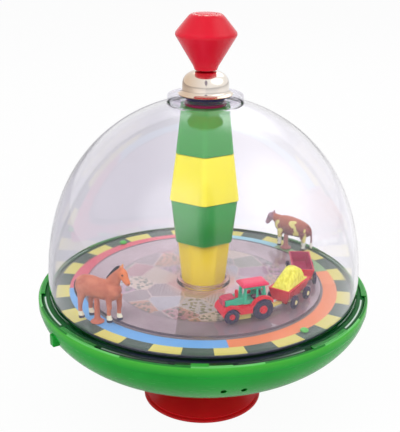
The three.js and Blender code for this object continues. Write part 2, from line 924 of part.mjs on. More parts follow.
// A twisted bar about the vertical axis, whose angle is worked out from the height above the foot
function twistedBar(width, thickness, low, high, origin, stepsPerTurn) {
  const steps = Math.ceil(((high - low) / stripLead) * stepsPerTurn);
  const [x, y] = [width / 2, thickness / 2];
  const corners = [[0, y], [-x, y], [-x, -y], [0, -y], [x, -y], [x, y]];
  return skinned(swept(low, high, steps, (height) => {
    const angle = (2 * Math.PI * height) / stripLead;
    const [cos, sin] = [Math.cos(angle), Math.sin(angle)];
    return corners.map(([cornerX, cornerY]) => [
      cornerX * cos - cornerY * sin,
      cornerX * sin + cornerY * cos,
      height - origin,
    ]);
  }));
}

function driverNutGeometry() {
  const bodyTop = toothHeight + nutHeight;
  const body = rod(nutRadius, toothHeight, bodyTop, roundSteps);
  const teeth = faceTeeth(
    crownRadius - toothInset, guideBore + toothBoreInset, 0, toothHeight + nutHeight / 2,
  );
  const slot = twistedBar(
    stripWidth + 2 * slotGap, stripThickness + 2 * slotGap,
    nutBase - slotGap, nutBase + bodyTop + slotGap, nutBase, slotStepsPerTurn,
  );
  return cut(joined(body, ...teeth), slot);
}

function spindleGeometry() {
  const stripTop = spindleHeadBase + spindleHeadHeight / 2;
  const strip = twistedBar(stripWidth, stripThickness, stripBase, stripTop, stripBase, stripStepsPerTurn);
  const headLow = spindleHeadBase - stripBase;
  const headTop = headLow + spindleHeadHeight;
  const head = rod(spindleHeadRadius, headLow, headTop, smallSteps);
  const holeFloor = headTop - knobScrewBite - seatGap;
  const hole = rod(knobScrewRadius + seatGap, holeFloor, headTop + overrun, smallSteps);
  return cut(joined(strip, head), hole);
}

function spindleStopGeometry() {
  const bore = stripReach + seatGap;
  return ring(bore, bore + stopWall, 0, stopHeight, smallSteps);
}

// The angle, seen from a circle's centre, at which a line from a point touches the circle
function touchAngle([x, y], [centreX, centreY], radius, side) {
  const distance = Math.hypot(x - centreX, y - centreY);
  return Math.atan2(y - centreY, x - centreX) + side * Math.acos(radius / distance);
}

function knobGeometry() {
  const centre = [knobRadius - knobWaistRound, knobWaistHeight];
  const neck = [knobNeckRadius, knobNeckHeight];
  const shoulder = [knobShoulderRadius, knobHeight - knobShoulderDrop];
  const low = touchAngle(neck, centre, knobWaistRound, 1);
  const high = touchAngle(shoulder, centre, knobWaistRound, -1);
  const boreTop = spindleHeadLift + spindleHeadHeight + seatGap;
  const screwBore = knobScrewRadius + seatGap;
  return turned([
    [knobBore, 0],
    [knobNeckRadius - knobEdge, 0],
    [knobNeckRadius, knobEdge],
    neck,
    ...arc(...centre, knobWaistRound, low, high, waistSteps),
    shoulder,
    [knobShoulderRadius - knobTopInset, knobHeight],
    [plugRadius + seatGap, knobHeight],
    [plugRadius + seatGap, boreTop + knobWeb],
    [screwBore, boreTop + knobWeb],
    [screwBore, boreTop],
    [knobBore, boreTop],
  ], roundSteps);
}

function knobPlugGeometry() {
  return turned([
    [0, 0],
    [plugRadius, 0],
    [plugRadius, plugHeight],
    [plugRadius / 2, plugHeight + plugRise],
    [0, plugHeight + plugRise],
  ], roundSteps);
}

function knobScrewGeometry() {
  const shaft = knobWeb + 2 * seatGap + knobScrewBite;
  return turned([
    [0, -shaft],
    [knobScrewRadius, -shaft],
    [knobScrewRadius, 0],
    [knobScrewHeadRadius, 0],
    [knobScrewHeadRadius, knobScrewHeadHeight],
    [0, knobScrewHeadHeight],
  ], smallSteps);
}

// A limb of a figure: oval sections along a line of [along, up, half depth, half width] shares
function limb(shares, size, across, count) {
  const line = shares.map(([along, up]) => [along * size, up * size]);
  const left = beside(line, 1);
  return skinned(shares.map(([, , depth, width], i) => {
    const [x, z] = line[i];
    const [sideX, sideZ] = [left[i][0] - x, left[i][1] - z];
    return swept(0, 2 * Math.PI * (1 - 1 / count), count - 1, (angle) => {
      const out = depth * size * Math.cos(angle);
      return [x + out * sideX, across * size + width * size * Math.sin(angle), z + out * sideZ];
    });
  }));
}

// The horse in shares of its height, from rump to chest, up the neck, and from poll to muzzle
const horseTrunkShares = [
  [-0.332, 0.565, 0.05, 0.05], [-0.305, 0.563, 0.135, 0.105], [-0.23, 0.555, 0.175, 0.13],
  [-0.09, 0.55, 0.185, 0.135], [0.05, 0.532, 0.172, 0.132], [0.185, 0.525, 0.178, 0.13],
  [0.305, 0.52, 0.165, 0.115], [0.385, 0.508, 0.12, 0.085], [0.415, 0.5, 0.055, 0.045],
];
const horseNeckShares = [
  [0.235, 0.55, 0.15, 0.085], [0.3, 0.69, 0.115, 0.07],
  [0.365, 0.81, 0.085, 0.058], [0.425, 0.915, 0.05, 0.042],
];
const horseHeadShares = [
  [0.415, 0.945, 0.03, 0.03], [0.45, 0.865, 0.083, 0.058], [0.5, 0.77, 0.062, 0.05],
  [0.545, 0.695, 0.045, 0.044], [0.557, 0.662, 0.024, 0.026],
];
const horseTailShares = [
  [-0.31, 0.66, 0.022, 0.022], [-0.345, 0.56, 0.038, 0.032],
  [-0.345, 0.42, 0.042, 0.034], [-0.325, 0.31, 0.016, 0.016],
];
const horseEarShares = [[0.43, 0.92, 0.024, 0.02], [0.45, 0.985, 0.017, 0.012], [0.457, 1, 0.005, 0.005]];
const horseForeLegShares = [
  [0.245, 0.45, 0.062, 0.05], [0.245, 0.26, 0.042, 0.036], [0.24, 0.13, 0.034, 0.032],
  [0.243, 0.07, 0.046, 0.04], [0.25, 0, 0.05, 0.044],
];
const horseHindLegShares = [
  [-0.215, 0.47, 0.09, 0.056], [-0.235, 0.29, 0.05, 0.038], [-0.26, 0.14, 0.034, 0.032],
  [-0.245, 0.07, 0.044, 0.04], [-0.235, 0, 0.05, 0.044],
];
const horseLegAcrossShare = 0.07;
const horseFarStepShare = 0.11;
const horseEarAcrossShare = 0.036;
const horseBellyShare = 0.365;

// The cow in shares of its height, the same way
const cowTrunkShares = [
  [-0.742, 0.61, 0.06, 0.06], [-0.705, 0.59, 0.17, 0.15], [-0.56, 0.575, 0.235, 0.205],
  [-0.33, 0.6, 0.27, 0.235], [-0.09, 0.62, 0.29, 0.235], [0.115, 0.64, 0.27, 0.205],
  [0.255, 0.66, 0.21, 0.165], [0.345, 0.68, 0.11, 0.095],
];
const cowNeckShares = [
  [0.14, 0.7, 0.19, 0.145], [0.31, 0.765, 0.145, 0.11], [0.44, 0.83, 0.095, 0.085], [0.5, 0.85, 0.05, 0.05],
];
const cowHeadShares = [
  [0.415, 0.905, 0.04, 0.06], [0.49, 0.82, 0.115, 0.1], [0.565, 0.71, 0.085, 0.075],
  [0.62, 0.6, 0.066, 0.07], [0.635, 0.55, 0.035, 0.04],
];
const cowTailShares = [
  [-0.69, 0.745, 0.03, 0.03], [-0.785, 0.6, 0.028, 0.028], [-0.815, 0.3, 0.028, 0.028],
  [-0.82, 0.13, 0.048, 0.042], [-0.815, 0.045, 0.015, 0.015],
];
const cowHornShares = [[0.44, 0.85, 0.034, 0.03], [0.43, 0.96, 0.022, 0.018], [0.445, 1, 0.006, 0.006]];
const cowForeLegShares = [
  [0.13, 0.5, 0.1, 0.075], [0.14, 0.27, 0.066, 0.056], [0.14, 0.13, 0.05, 0.048], [0.15, 0, 0.068, 0.06],
];
const cowHindLegShares = [
  [-0.585, 0.52, 0.14, 0.085], [-0.615, 0.3, 0.075, 0.058],
  [-0.63, 0.14, 0.052, 0.048], [-0.615, 0, 0.07, 0.06],
];
const cowLegAcrossShare = 0.135;
const cowFarStepShare = 0.12;
const cowHornAcrossShare = 0.055;
const cowBellyShare = 0.35;
const horseBelly = horseHeight * horseBellyShare;
const cowBelly = cowHeight * cowBellyShare;

// The hole for the post goes into the belly from below
function bellyHole(size) {
  return rod(postRadius + seatGap, -overrun, size + seatGap, smallSteps);
}

function horseGeometry() {
  const far = (shares) => shares.map(([along, ...rest]) => [along + horseFarStepShare, ...rest]);
  const body = joined(
    limb(horseTrunkShares, horseHeight, 0, trunkSides),
    limb(horseNeckShares, horseHeight, 0, headSides),
    limb(horseHeadShares, horseHeight, 0, headSides),
    limb(horseTailShares, horseHeight, 0, tailSides),
    limb(horseEarShares, horseHeight, horseEarAcrossShare, tailSides),
    limb(horseEarShares, horseHeight, -horseEarAcrossShare, tailSides),
    limb(horseForeLegShares, horseHeight, -horseLegAcrossShare, legSides),
    limb(far(horseForeLegShares), horseHeight, horseLegAcrossShare, legSides),
    limb(horseHindLegShares, horseHeight, -horseLegAcrossShare, legSides),
    limb(far(horseHindLegShares), horseHeight, horseLegAcrossShare, legSides),
  );
  return cut(body, bellyHole(horseBelly + postBite));
}

function cowGeometry() {
  const far = (shares) => shares.map(([along, ...rest]) => [along + cowFarStepShare, ...rest]);
  const body = joined(
    limb(cowTrunkShares, cowHeight, 0, trunkSides),
    limb(cowNeckShares, cowHeight, 0, headSides),
    limb(cowHeadShares, cowHeight, 0, headSides),
    limb(cowTailShares, cowHeight, 0, tailSides),
    limb(cowHornShares, cowHeight, cowHornAcrossShare, tailSides),
    limb(cowHornShares, cowHeight, -cowHornAcrossShare, tailSides),
    limb(cowForeLegShares, cowHeight, cowLegAcrossShare, legSides),
    limb(far(cowForeLegShares), cowHeight, -cowLegAcrossShare, legSides),
    limb(cowHindLegShares, cowHeight, cowLegAcrossShare, legSides),
    limb(far(cowHindLegShares), cowHeight, -cowLegAcrossShare, legSides),
  );
  return cut(body, bellyHole(cowBelly + postBite));
}

// A post with a flange on the plate, a barb under the plate and its top in the figure's belly
function postGeometry(top) {
  const barbTop = -seatGap - plateThickness - seatGap;
  return turned([
    [0, barbTop - postBarbHeight],
    [postRadius, barbTop - postBarbHeight],
    [postRadius + postBarb, barbTop - postBarbHeight / 2],
    [postRadius + postBarb, barbTop],
    [postRadius, barbTop],
    [postRadius, 0],
    [postFlangeRadius, 0],
    [postFlangeRadius, postFlangeHeight / 2],
    [postRadius, postFlangeHeight],
    [postRadius, top],
    [0, top],
  ], smallSteps);
}

// A tyre about the Y axis, in the middle of its own width
function tyreGeometry(radius, width) {
  const bore = radius * tyreHubShare;
  const half = width / 2;
  return turned([
    [bore, -half],
    [radius - tyreEdge, -half],
    [radius, tyreEdge - half],
    [radius, half - tyreEdge],
    [radius - tyreEdge, half],
    [bore, half],
  ], smallSteps).rotateX(quarter);
}

// An axle along Y with a hub in each of its two tyres
function axleGeometry(tyreRadius, tyreWidth, halfTrack) {
  const hub = tyreRadius * tyreHubShare - seatGap;
  const outer = halfTrack + tyreWidth / 2 + hubProud;
  const inner = halfTrack - tyreWidth / 2;
  const profile = [
    [0, -outer],
    [hub, -outer],
    [hub, -inner],
    [axleRadius, -inner],
    [axleRadius, inner],
    [hub, inner],
    [hub, outer],
    [0, outer],
  ];
  return turned(profile, smallSteps).rotateX(quarter);
}

function across(radius, x, height, from, to) {
  return rod(radius, from, to, smallSteps).rotateX(-quarter).translate(x, 0, height);
}

const rearAxle = [-tractorWheelbase / 2, rearTyreRadius + seatGap];
const frontAxle = [tractorWheelbase / 2, frontTyreRadius + seatGap];
const skirtHalfWidth = tractorHalfTrack + tractorTyreWidth / 2;
const chassisEnd = rearAxle[0] - chassisTail;

// Fenders over four wheels, running boards, the nose, and the beam under the body
function tractorChassisGeometry() {
  const rearReach = rearTyreRadius + fenderGap + fenderThickness;
  const frontReach = frontTyreRadius + fenderGap + fenderThickness;
  const rearMeet = Math.asin((skirtTop - rearAxle[1]) / rearReach);
  const frontMeet = Math.asin((skirtTop - frontAxle[1]) / frontReach);
  const nose = frontAxle[0] + noseLength;
  const outline = [
    [rearAxle[0] - fenderTail, skirtBase],
    ...arc(...rearAxle, rearReach, Math.acos(-fenderTail / rearReach), rearMeet, rearFenderSteps),
    ...arc(...frontAxle, frontReach, Math.PI - frontMeet, frontMeet, frontFenderSteps),
    [nose, skirtTop - noseRound],
    [nose, chassisBase + noseRound],
    [nose - noseRound, chassisBase],
    [frontAxle[0], skirtBase],
  ];
  const skirts = sideways(outline, skirtHalfWidth);
  const beam = block(
    chassisEnd, nose - 2 * noseRound, -chassisHalfWidth, chassisHalfWidth, chassisBase, chassisTop,
  );
  const saddle = block(
    frontAxle[0] - axleBlock, frontAxle[0] + axleBlock, -chassisHalfWidth, chassisHalfWidth,
    frontAxle[1] - axleBlock, chassisTop,
  );
  const wellInner = tractorHalfTrack - tractorTyreWidth / 2 - runGap;
  const well = ([x, height], radius) => [
    across(radius + fenderGap, x, height, wellInner, skirtHalfWidth + overrun),
    across(radius + fenderGap, x, height, -skirtHalfWidth - overrun, -wellInner),
  ];
  const pocket = block(
    rearAxle[0] - overrun - rearReach, nose + overrun, -cabHalfWidth - seatGap, cabHalfWidth + seatGap,
    chassisTop, chassisTop + overrun,
  );
  const notch = block(
    rearAxle[0] - rearReach - overrun, chassisEnd,
    -cabHalfWidth - seatGap, cabHalfWidth + seatGap, -overrun, chassisTop,
  );
  return cut(
    joined(skirts, beam, saddle),
    ...well(rearAxle, rearTyreRadius),
    ...well(frontAxle, frontTyreRadius),
    pocket,
    notch,
    across(axleBore, ...rearAxle, -overrun, overrun),
    across(axleBore, ...frontAxle, -overrun, overrun),
  );
}

const bodyBase = chassisTop + seatGap;
const cabNose = frontAxle[0] - cabFront;
const cabTail = cabNose - cabLength;
const bonnetNose = frontAxle[0] + bonnetEnd;
const exhaustX = cabNose + exhaustRadius + exhaustSetForward;

// The bonnet's height at a distance along the tractor
function bonnetTop(x) {
  const back = cabNose - cabWall;
  return bonnetHeight - (bonnetSlope * (x - back)) / (bonnetNose - back);
}

// Bonnet and window frame of the cab, with its floor at zero
function tractorBodyGeometry() {
  const bonnet = sideways([
    [cabNose - cabWall, 0],
    [bonnetNose, 0],
    [bonnetNose, bonnetHeight - bonnetSlope],
    [cabNose - cabWall, bonnetHeight],
  ], bonnetHalfWidth);
  const cab = sideways([
    [cabTail, 0],
    [cabNose, 0],
    [cabNose, bonnetHeight],
    [cabNose - cabLean, cabHeight],
    [cabTail + cabLean, cabHeight],
    [cabTail, cabSill],
  ], cabHalfWidth);
  const headerBase = cabHeight - cabHeader;
  const inside = cabHalfWidth - cabWall;
  const side = cabHalfWidth + overrun;
  const roomFront = cabNose - cabLean - cabWall;
  const roomBack = cabTail + cabLean + cabWall;
  const doorBack = roomFront - cabDoorLength;
  return cut(
    joined(bonnet, cab),
    block(roomBack, roomFront, -inside, inside, cabFloor, cabHeight + overrun),
    block(doorBack, roomFront, -side, side, cabDoorSill, headerBase),
    block(roomBack, doorBack - cabPost, -side, side, cabSill, headerBase),
    block(
      roomFront - overrun, cabNose + overrun,
      cabPost - inside, inside - cabPost, bonnetHeight + seatGap, headerBase,
    ),
    block(cabTail - overrun, roomBack + overrun, cabPost - inside, inside - cabPost, cabSill, headerBase),
  );
}

function tractorRoofGeometry() {
  const [front, back] = [cabNose - cabLean + roofOverhang, cabTail + cabLean - roofOverhang];
  const wide = cabHalfWidth + roofSideOverhang;
  const section = (inset, height) => [
    [front - inset, wide - inset, height],
    [back + inset, wide - inset, height],
    [back + inset, inset - wide, height],
    [front - inset, inset - wide, height],
  ];
  return skinned([section(0, 0), section(0, roofThickness / 2), section(roofSlope, roofThickness)]);
}

// The red panel on the bonnet with the grille at its front
function tractorHoodGeometry() {
  const half = bonnetHalfWidth - hoodInset;
  const back = bonnetNose - hoodLength;
  const front = bonnetNose + seatGap + grilleThickness;
  const panel = sideways([
    [back, bonnetTop(back) + seatGap],
    [bonnetNose + seatGap, bonnetTop(bonnetNose) + seatGap],
    [bonnetNose + seatGap, seatGap],
    [front, seatGap],
    [front, bonnetTop(bonnetNose) + seatGap],
    [bonnetNose, bonnetTop(bonnetNose) + seatGap + hoodThickness],
    [back, bonnetTop(back) + seatGap + hoodThickness],
  ], half);
  const pitch = (bonnetHeight - bonnetSlope) / (grilleSlots + 1);
  const slots = Array.from({ length: grilleSlots }, (_, i) => {
    const middle = seatGap + pitch * (i + 1);
    return block(
      front - grilleThickness / 2, front + overrun, hoodInset - half, half - hoodInset,
      middle - pitch * grilleSlotShare, middle + pitch * grilleSlotShare,
    );
  });
  return cut(panel, ...slots);
}

function tractorExhaustGeometry() {
  return turned([
    [0, 0],
    [exhaustRadius, 0],
    [exhaustRadius, exhaustHeight],
    [exhaustRadius / 2, exhaustHeight],
    [exhaustRadius / 2, exhaustHeight - exhaustRadius],
    [0, exhaustHeight - exhaustRadius],
  ], smallSteps);
}

function tractorSeatGeometry() {
  return sideways([
    [0, 0],
    [seatLength, 0],
    [seatLength, seatThickness],
    [seatThickness, seatThickness],
    [seatThickness / 2, seatHeight],
    [0, seatHeight],
  ], seatHalfWidth);
}

// An open tub that narrows downward, with a block under it for each axle
function tubGeometry(halfLength, halfWidth, taper, halfBase) {
  const section = (inset, lean, height) => {
    const [long, wide] = [halfLength - inset - taper * lean, halfWidth - inset - tubFlare * lean];
    return [[long, wide, height], [-long, wide, height], [-long, -wide, height], [long, -wide, height]];
  };
  const outer = skinned([section(0, 1, 0), section(0, 0, tubHeight)]);
  const inner = skinned([
    section(tubWall, 1 - tubFloor / tubHeight, tubFloor),
    section(tubWall, 0, tubHeight),
    section(tubWall, 0, tubHeight + overrun),
  ]);
  const axleHeight = trailerTyreRadius + seatGap - tubBase;
  const carrier = (x) => block(
    x - axleBlock, x + axleBlock, -axleBlockHalfWidth, axleBlockHalfWidth,
    axleHeight - axleBlock, tubFloor / 2,
  );
  const hole = (x) => across(axleBore, x, axleHeight, -halfWidth - overrun, halfWidth + overrun);
  const body = joined(outer, carrier(halfBase), carrier(-halfBase));
  return cut(body, inner, hole(halfBase), hole(-halfBase));
}

// Hay: a plug inside the tub and a heap on it, highest toward the rear
function hayGeometry() {
  const inset = tubWall + seatGap;
  const section = (lean, height) => {
    const long = frontTubHalfLength - inset - frontTubTaper * lean;
    const wide = frontTubHalfWidth - inset - tubFlare * lean;
    return [[long, wide, height], [-long, wide, height], [-long, -wide, height], [long, -wide, height]];
  };
  const rim = tubHeight - tubFloor - seatGap;
  const plug = skinned([section(1, 0), section(0, rim)]);
  const heapShares = [
    [-0.6, 0.5], [-0.54, 0.8], [-0.38, 0.97], [-0.15, 1], [0.15, 0.86], [0.5, 0.55], [0.76, 0.25], [0.86, 0.06],
  ];
  const heapHalfWidth = frontTubHalfWidth - inset;
  const heap = skinned(heapShares.map(([along, up]) => {
    const x = along * frontTubHalfLength;
    return swept(0, Math.PI, heapSteps, (angle) => [
      x,
      heapHalfWidth * Math.sign(Math.cos(angle)) * Math.abs(Math.cos(angle)) ** hayFlankShare,
      rim - seatGap + hayHeight * up * Math.max(Math.sin(angle), 0) ** hayCrestShare,
    ]);
  }));
  return joined(plug, heap);
}

// A flat bar with round ends between two vehicles, along its own X from its first end
function linkGeometry(length) {
  const bar = block(0, length, -linkHalfWidth, linkHalfWidth, 0, linkThickness);
  const end = () => rod(linkHalfWidth, 0, linkThickness, smallSteps);
  return joined(bar, end(), end().translate(length, 0, 0));
}

// Materials, one for each piece
function plastic(color, roughness = 0.35) {
  return new THREE.MeshStandardMaterial({ color, roughness, metalness: 0, flatShading: true });
}

function metal(color, roughness) {
  return new THREE.MeshStandardMaterial({ color, roughness, metalness: 1, flatShading: true });
}

function clear(color) {
  const look = { color, roughness: 0.05, metalness: 0, transparent: true, opacity: 0.25, flatShading: true };
  return new THREE.MeshStandardMaterial(look);
}

// Groups: what stands still, what turns with the dome, the pump, the clutch and the carousel
const top = new THREE.Group();
const stand = new THREE.Group();
const housing = new THREE.Group();
const plunger = new THREE.Group();
const clutch = new THREE.Group();
const carousel = new THREE.Group();
top.add(stand, housing, plunger, clutch, carousel);

function addPiece(group, name, geometry, material, x = 0, y = 0, z = 0) {
  const closed = toGeometry(toSolid(geometry));
  closed.computeVertexNormals();
  const mesh = new THREE.Mesh(closed, material);
  mesh.name = name;
  mesh.position.set(x, y, z);
  group.add(mesh);
}

function foot() {
  addPiece(stand, "foot", footGeometry(), plastic(0x921811));
  addPiece(stand, "pivot_pin", pivotPinGeometry(), metal(0xb8babd, 0.3));
  addPiece(stand, "thrust_washer", ring(pinBore, thrustWasherRadius, 0, thrustWasherHeight, smallSteps),
    plastic(0xe8e6dc), 0, 0, thrustWasherBase);
  addPiece(stand, "pivot_clip", pivotClipGeometry(), metal(0x9a9c9f, 0.35), 0, 0, clipBase);
}

function base() {
  addPiece(housing, "pivot_bush", pivotBushGeometry(), plastic(0xe8e6dc), 0, 0, bushFlangeBase);
  addPiece(housing, "bowl", bowlGeometry(), plastic(0x3cb24a), 0, 0, bowlBase);
  addPiece(housing, "printed_disc", plateGeometry(), plastic(0xc9b6a8, 0.4), 0, 0, plateBase);
  pegAzimuths.forEach((azimuth, i) => {
    const [x, y] = onCircle(pegCircle, degrees(azimuth));
    addPiece(housing, `disc_peg_${i + 1}`, discPegGeometry(), plastic(0x3cb24a), x, y, plateTop + seatGap);
  });
  evenly(screwCount, screwStart).forEach((azimuth, i) => {
    const [x, y] = onCircle(screwCircle, degrees(azimuth));
    addPiece(housing, `column_screw_${i + 1}`, columnScrewGeometry(), metal(0xb8babd, 0.3), x, y, bowlBase);
  });
}

function column() {
  addPiece(housing, "column_lower_yellow", lowerYellowGeometry(), plastic(0xe8cf4a), 0, 0, lowerYellowFoot);
  addPiece(housing, "column_lower_green", lowerGreenGeometry(), plastic(0x2fa04a), 0, 0, lowerGreenFoot);
  addPiece(housing, "column_upper_yellow", upperYellowGeometry(), plastic(0xf6e84b), 0, 0, upperYellowFoot);
  addPiece(housing, "column_upper_green", upperGreenGeometry(), plastic(0x4fae5e), 0, 0, upperGreenFoot);
  addPiece(housing, "crimson_washer", crimsonWasherGeometry(), plastic(0xa02048), 0, 0, crimsonBase);
  addPiece(housing, "column_bush", columnBushGeometry(), plastic(0x2b2a55), 0, 0, guideBase);
}

function cover() {
  addPiece(housing, "dome", domeGeometry(), clear(0xf2f2f8), 0, 0, domeFlangeBase);
  addPiece(housing, "cap", capGeometry(), metal(0xd8cdbb, 0.12), 0, 0, ledgeTop + seatGap);
}

// A figure and its post, in a group at the post's place
function figure(name, geometry, belly, color, circle, azimuth, heading) {
  const group = new THREE.Group();
  group.position.set(...onCircle(circle, degrees(azimuth)), plateTop + seatGap);
  group.rotation.z = degrees(heading);
  housing.add(group);
  addPiece(group, `${name}_post`, postGeometry(hoofLift + belly + postBite), plastic(color));
  addPiece(group, name, geometry, plastic(color, 0.5), 0, 0, hoofLift);
}

function drive() {
  const knobTop = knobBase + knobHeight;
  const web = knobBase + spindleHeadLift + spindleHeadHeight + seatGap + knobWeb;
  addPiece(plunger, "knob", knobGeometry(), plastic(0xd71632), 0, 0, knobBase);
  addPiece(plunger, "knob_plug", knobPlugGeometry(), plastic(0xc91430), 0, 0, knobTop - plugHeight);
  addPiece(plunger, "knob_screw", knobScrewGeometry(), metal(0xb8babd, 0.3), 0, 0, web + seatGap);
  addPiece(plunger, "spindle", spindleGeometry(), metal(0xaeb0b3, 0.3), 0, 0, stripBase);
  addPiece(plunger, "spindle_stop", spindleStopGeometry(), plastic(0xe8e6dc), 0, 0, stopBase);
  addPiece(clutch, "driver_nut", driverNutGeometry(), plastic(0xdedad0), 0, 0, nutBase);
}

// A vehicle's group on the carousel, with its nose turned a little inward from the circle's tangent
function vehicle(circle, azimuth) {
  const group = new THREE.Group();
  group.position.set(...onCircle(circle, azimuth), carouselTop);
  group.rotation.z = azimuth - quarter - degrees(noseInward);
  carousel.add(group);
  return group;
}

function wheelPair(group, name, x, tyreRadius, tyreWidth, halfTrack, hubColor) {
  const height = tyreRadius + seatGap;
  const axle = axleGeometry(tyreRadius, tyreWidth, halfTrack);
  addPiece(group, `${name}_axle`, axle, plastic(hubColor), x, 0, height);
  for (const [side, y] of [["left", halfTrack], ["right", -halfTrack]]) {
    const tyre = tyreGeometry(tyreRadius, tyreWidth);
    addPiece(group, `${name}_tyre_${side}`, tyre, plastic(0x252444, 0.6), x, y, height);
  }
}

function tractor(group) {
  const red = 0xe2203a;
  const green = 0x35b98a;
  const bellyHeight = chassisBase - 2 * seatGap;
  const belly = block(-bellyLength / 2, bellyLength / 2, -bellyHalfWidth, bellyHalfWidth, 0, bellyHeight);
  const seatX = cabTail + cabLean + cabWall + seatGap;
  addPiece(group, "tractor_chassis", tractorChassisGeometry(), plastic(red));
  addPiece(group, "tractor_body", tractorBodyGeometry(), plastic(green), 0, 0, bodyBase);
  const roofBase = bodyBase + cabHeight + seatGap;
  addPiece(group, "tractor_roof", tractorRoofGeometry(), plastic(0xe0305c), 0, 0, roofBase);
  addPiece(group, "tractor_hood", tractorHoodGeometry(), plastic(0xe0506c), 0, 0, bodyBase);
  addPiece(group, "tractor_exhaust", tractorExhaustGeometry(), plastic(red),
    exhaustX, exhaustOffset, bodyBase + bonnetTop(exhaustX) + seatGap);
  const seatBase = bodyBase + cabFloor + seatGap;
  addPiece(group, "tractor_seat", tractorSeatGeometry(), plastic(0x7a2a50), seatX, 0, seatBase);
  addPiece(group, "tractor_plinth", belly, plastic(0xf0e070), 0, 0, seatGap);
  wheelPair(group, "tractor_front", frontAxle[0], frontTyreRadius, tractorTyreWidth, tractorHalfTrack, red);
  wheelPair(group, "tractor_rear", rearAxle[0], rearTyreRadius, tractorTyreWidth, tractorHalfTrack, red);
}

function trailer(group, name, halfLength, halfWidth, taper, halfBase) {
  const hub = 0xf0e8b0;
  const tub = tubGeometry(halfLength, halfWidth, taper, halfBase);
  addPiece(group, `${name}_tub`, tub, plastic(0xe2203a), 0, 0, tubBase);
  wheelPair(group, `${name}_front`, halfBase, trailerTyreRadius, trailerTyreWidth, trailerHalfTrack, hub);
  wheelPair(group, `${name}_rear`, -halfBase, trailerTyreRadius, trailerTyreWidth, trailerHalfTrack, hub);
}

// A bar under the floors of two vehicles, from one's tail to the other's front
function link(name, ahead, tail, behind, front, color, extra) {
  const end = (group, x) => new THREE.Vector3(x, 0, 0).applyEuler(group.rotation).add(group.position);
  const [from, to] = [end(ahead, tail), end(behind, front)];
  const way = to.clone().sub(from);
  const group = new THREE.Group();
  group.position.set(from.x, from.y, carouselTop);
  group.rotation.z = Math.atan2(way.y, way.x);
  carousel.add(group);
  const bar = linkGeometry(way.length());
  const barBase = chassisBase - seatGap - linkThickness;
  addPiece(group, name, extra ? joined(bar, extra) : bar, plastic(color), 0, 0, barBase);
}

function train() {
  const tractorCircle = carouselRadius - tractorInset;
  const frontCircle = carouselRadius - frontTrailerInset;
  const rearCircle = carouselRadius - rearTrailerInset;
  const first = degrees(tractorAzimuth);
  const second = first + (2 * tractorToTrailer) / (tractorCircle + frontCircle);
  const third = second + (2 * trailerToTrailer) / (frontCircle + rearCircle);
  const engine = vehicle(tractorCircle, first);
  const hayCart = vehicle(frontCircle, second);
  const emptyCart = vehicle(rearCircle, third);
  const frontEnd = frontTubHalfLength - frontTubTaper - linkSeat;
  const rearEnd = rearTubHalfLength - rearTubTaper - linkSeat;
  const knuckle = rod(knuckleRadius, 0, knuckleHeight, smallSteps)
    .translate(linkSeat + seatGap + knuckleRadius, 0, 0);
  tractor(engine);
  const frontTub = [frontTubHalfLength, frontTubHalfWidth, frontTubTaper];
  trailer(hayCart, "trailer_front", ...frontTub, frontTrailerHalfBase);
  addPiece(hayCart, "hay_load", hayGeometry(), plastic(0xf0ee50), 0, 0, tubBase + tubFloor + seatGap);
  trailer(emptyCart, "trailer_rear", rearTubHalfLength, rearTubHalfWidth, rearTubTaper, rearTrailerHalfBase);
  link("tractor_hitch", engine, chassisEnd + linkSeat, hayCart, frontEnd, 0xf0e070, knuckle);
  link("trailer_link", hayCart, -frontEnd, emptyCart, rearEnd, 0xe2203a);
}

foot();
base();
column();
cover();
figure("horse", horseGeometry(), horseBelly, 0xc87058, horseCircle, horseAzimuth, horseHeading);
figure("cow", cowGeometry(), cowBelly, 0x96706e, cowCircle, cowAzimuth, cowHeading);
drive();
addPiece(carousel, "carousel_disc", carouselDiscGeometry(), clear(0xe8e4f4), 0, 0, carouselBase);
train();

export default top;
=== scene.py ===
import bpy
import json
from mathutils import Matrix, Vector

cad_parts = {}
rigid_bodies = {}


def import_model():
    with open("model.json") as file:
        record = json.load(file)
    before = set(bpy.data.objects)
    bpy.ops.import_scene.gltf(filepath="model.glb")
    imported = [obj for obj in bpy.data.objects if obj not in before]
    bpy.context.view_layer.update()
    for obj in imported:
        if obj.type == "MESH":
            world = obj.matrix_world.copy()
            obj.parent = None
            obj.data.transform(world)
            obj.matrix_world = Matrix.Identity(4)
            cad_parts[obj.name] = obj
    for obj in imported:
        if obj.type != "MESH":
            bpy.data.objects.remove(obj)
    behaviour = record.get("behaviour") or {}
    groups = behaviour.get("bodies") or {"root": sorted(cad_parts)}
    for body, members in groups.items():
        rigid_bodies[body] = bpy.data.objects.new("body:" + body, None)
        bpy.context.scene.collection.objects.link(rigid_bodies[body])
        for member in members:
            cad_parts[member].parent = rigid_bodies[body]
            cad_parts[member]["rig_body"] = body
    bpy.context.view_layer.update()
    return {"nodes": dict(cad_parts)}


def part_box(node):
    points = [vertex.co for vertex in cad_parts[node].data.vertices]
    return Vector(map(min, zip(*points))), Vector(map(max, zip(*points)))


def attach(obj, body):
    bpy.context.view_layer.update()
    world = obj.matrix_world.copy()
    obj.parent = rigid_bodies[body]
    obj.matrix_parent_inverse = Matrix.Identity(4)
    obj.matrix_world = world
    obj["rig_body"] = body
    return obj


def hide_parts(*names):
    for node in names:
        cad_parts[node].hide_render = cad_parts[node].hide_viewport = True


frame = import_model()

import json
import math
import bmesh
import bpy
import numpy as np
from mathutils import Matrix, Vector

scene = bpy.context.scene
nodes = frame["nodes"]
millimetre = 0.001

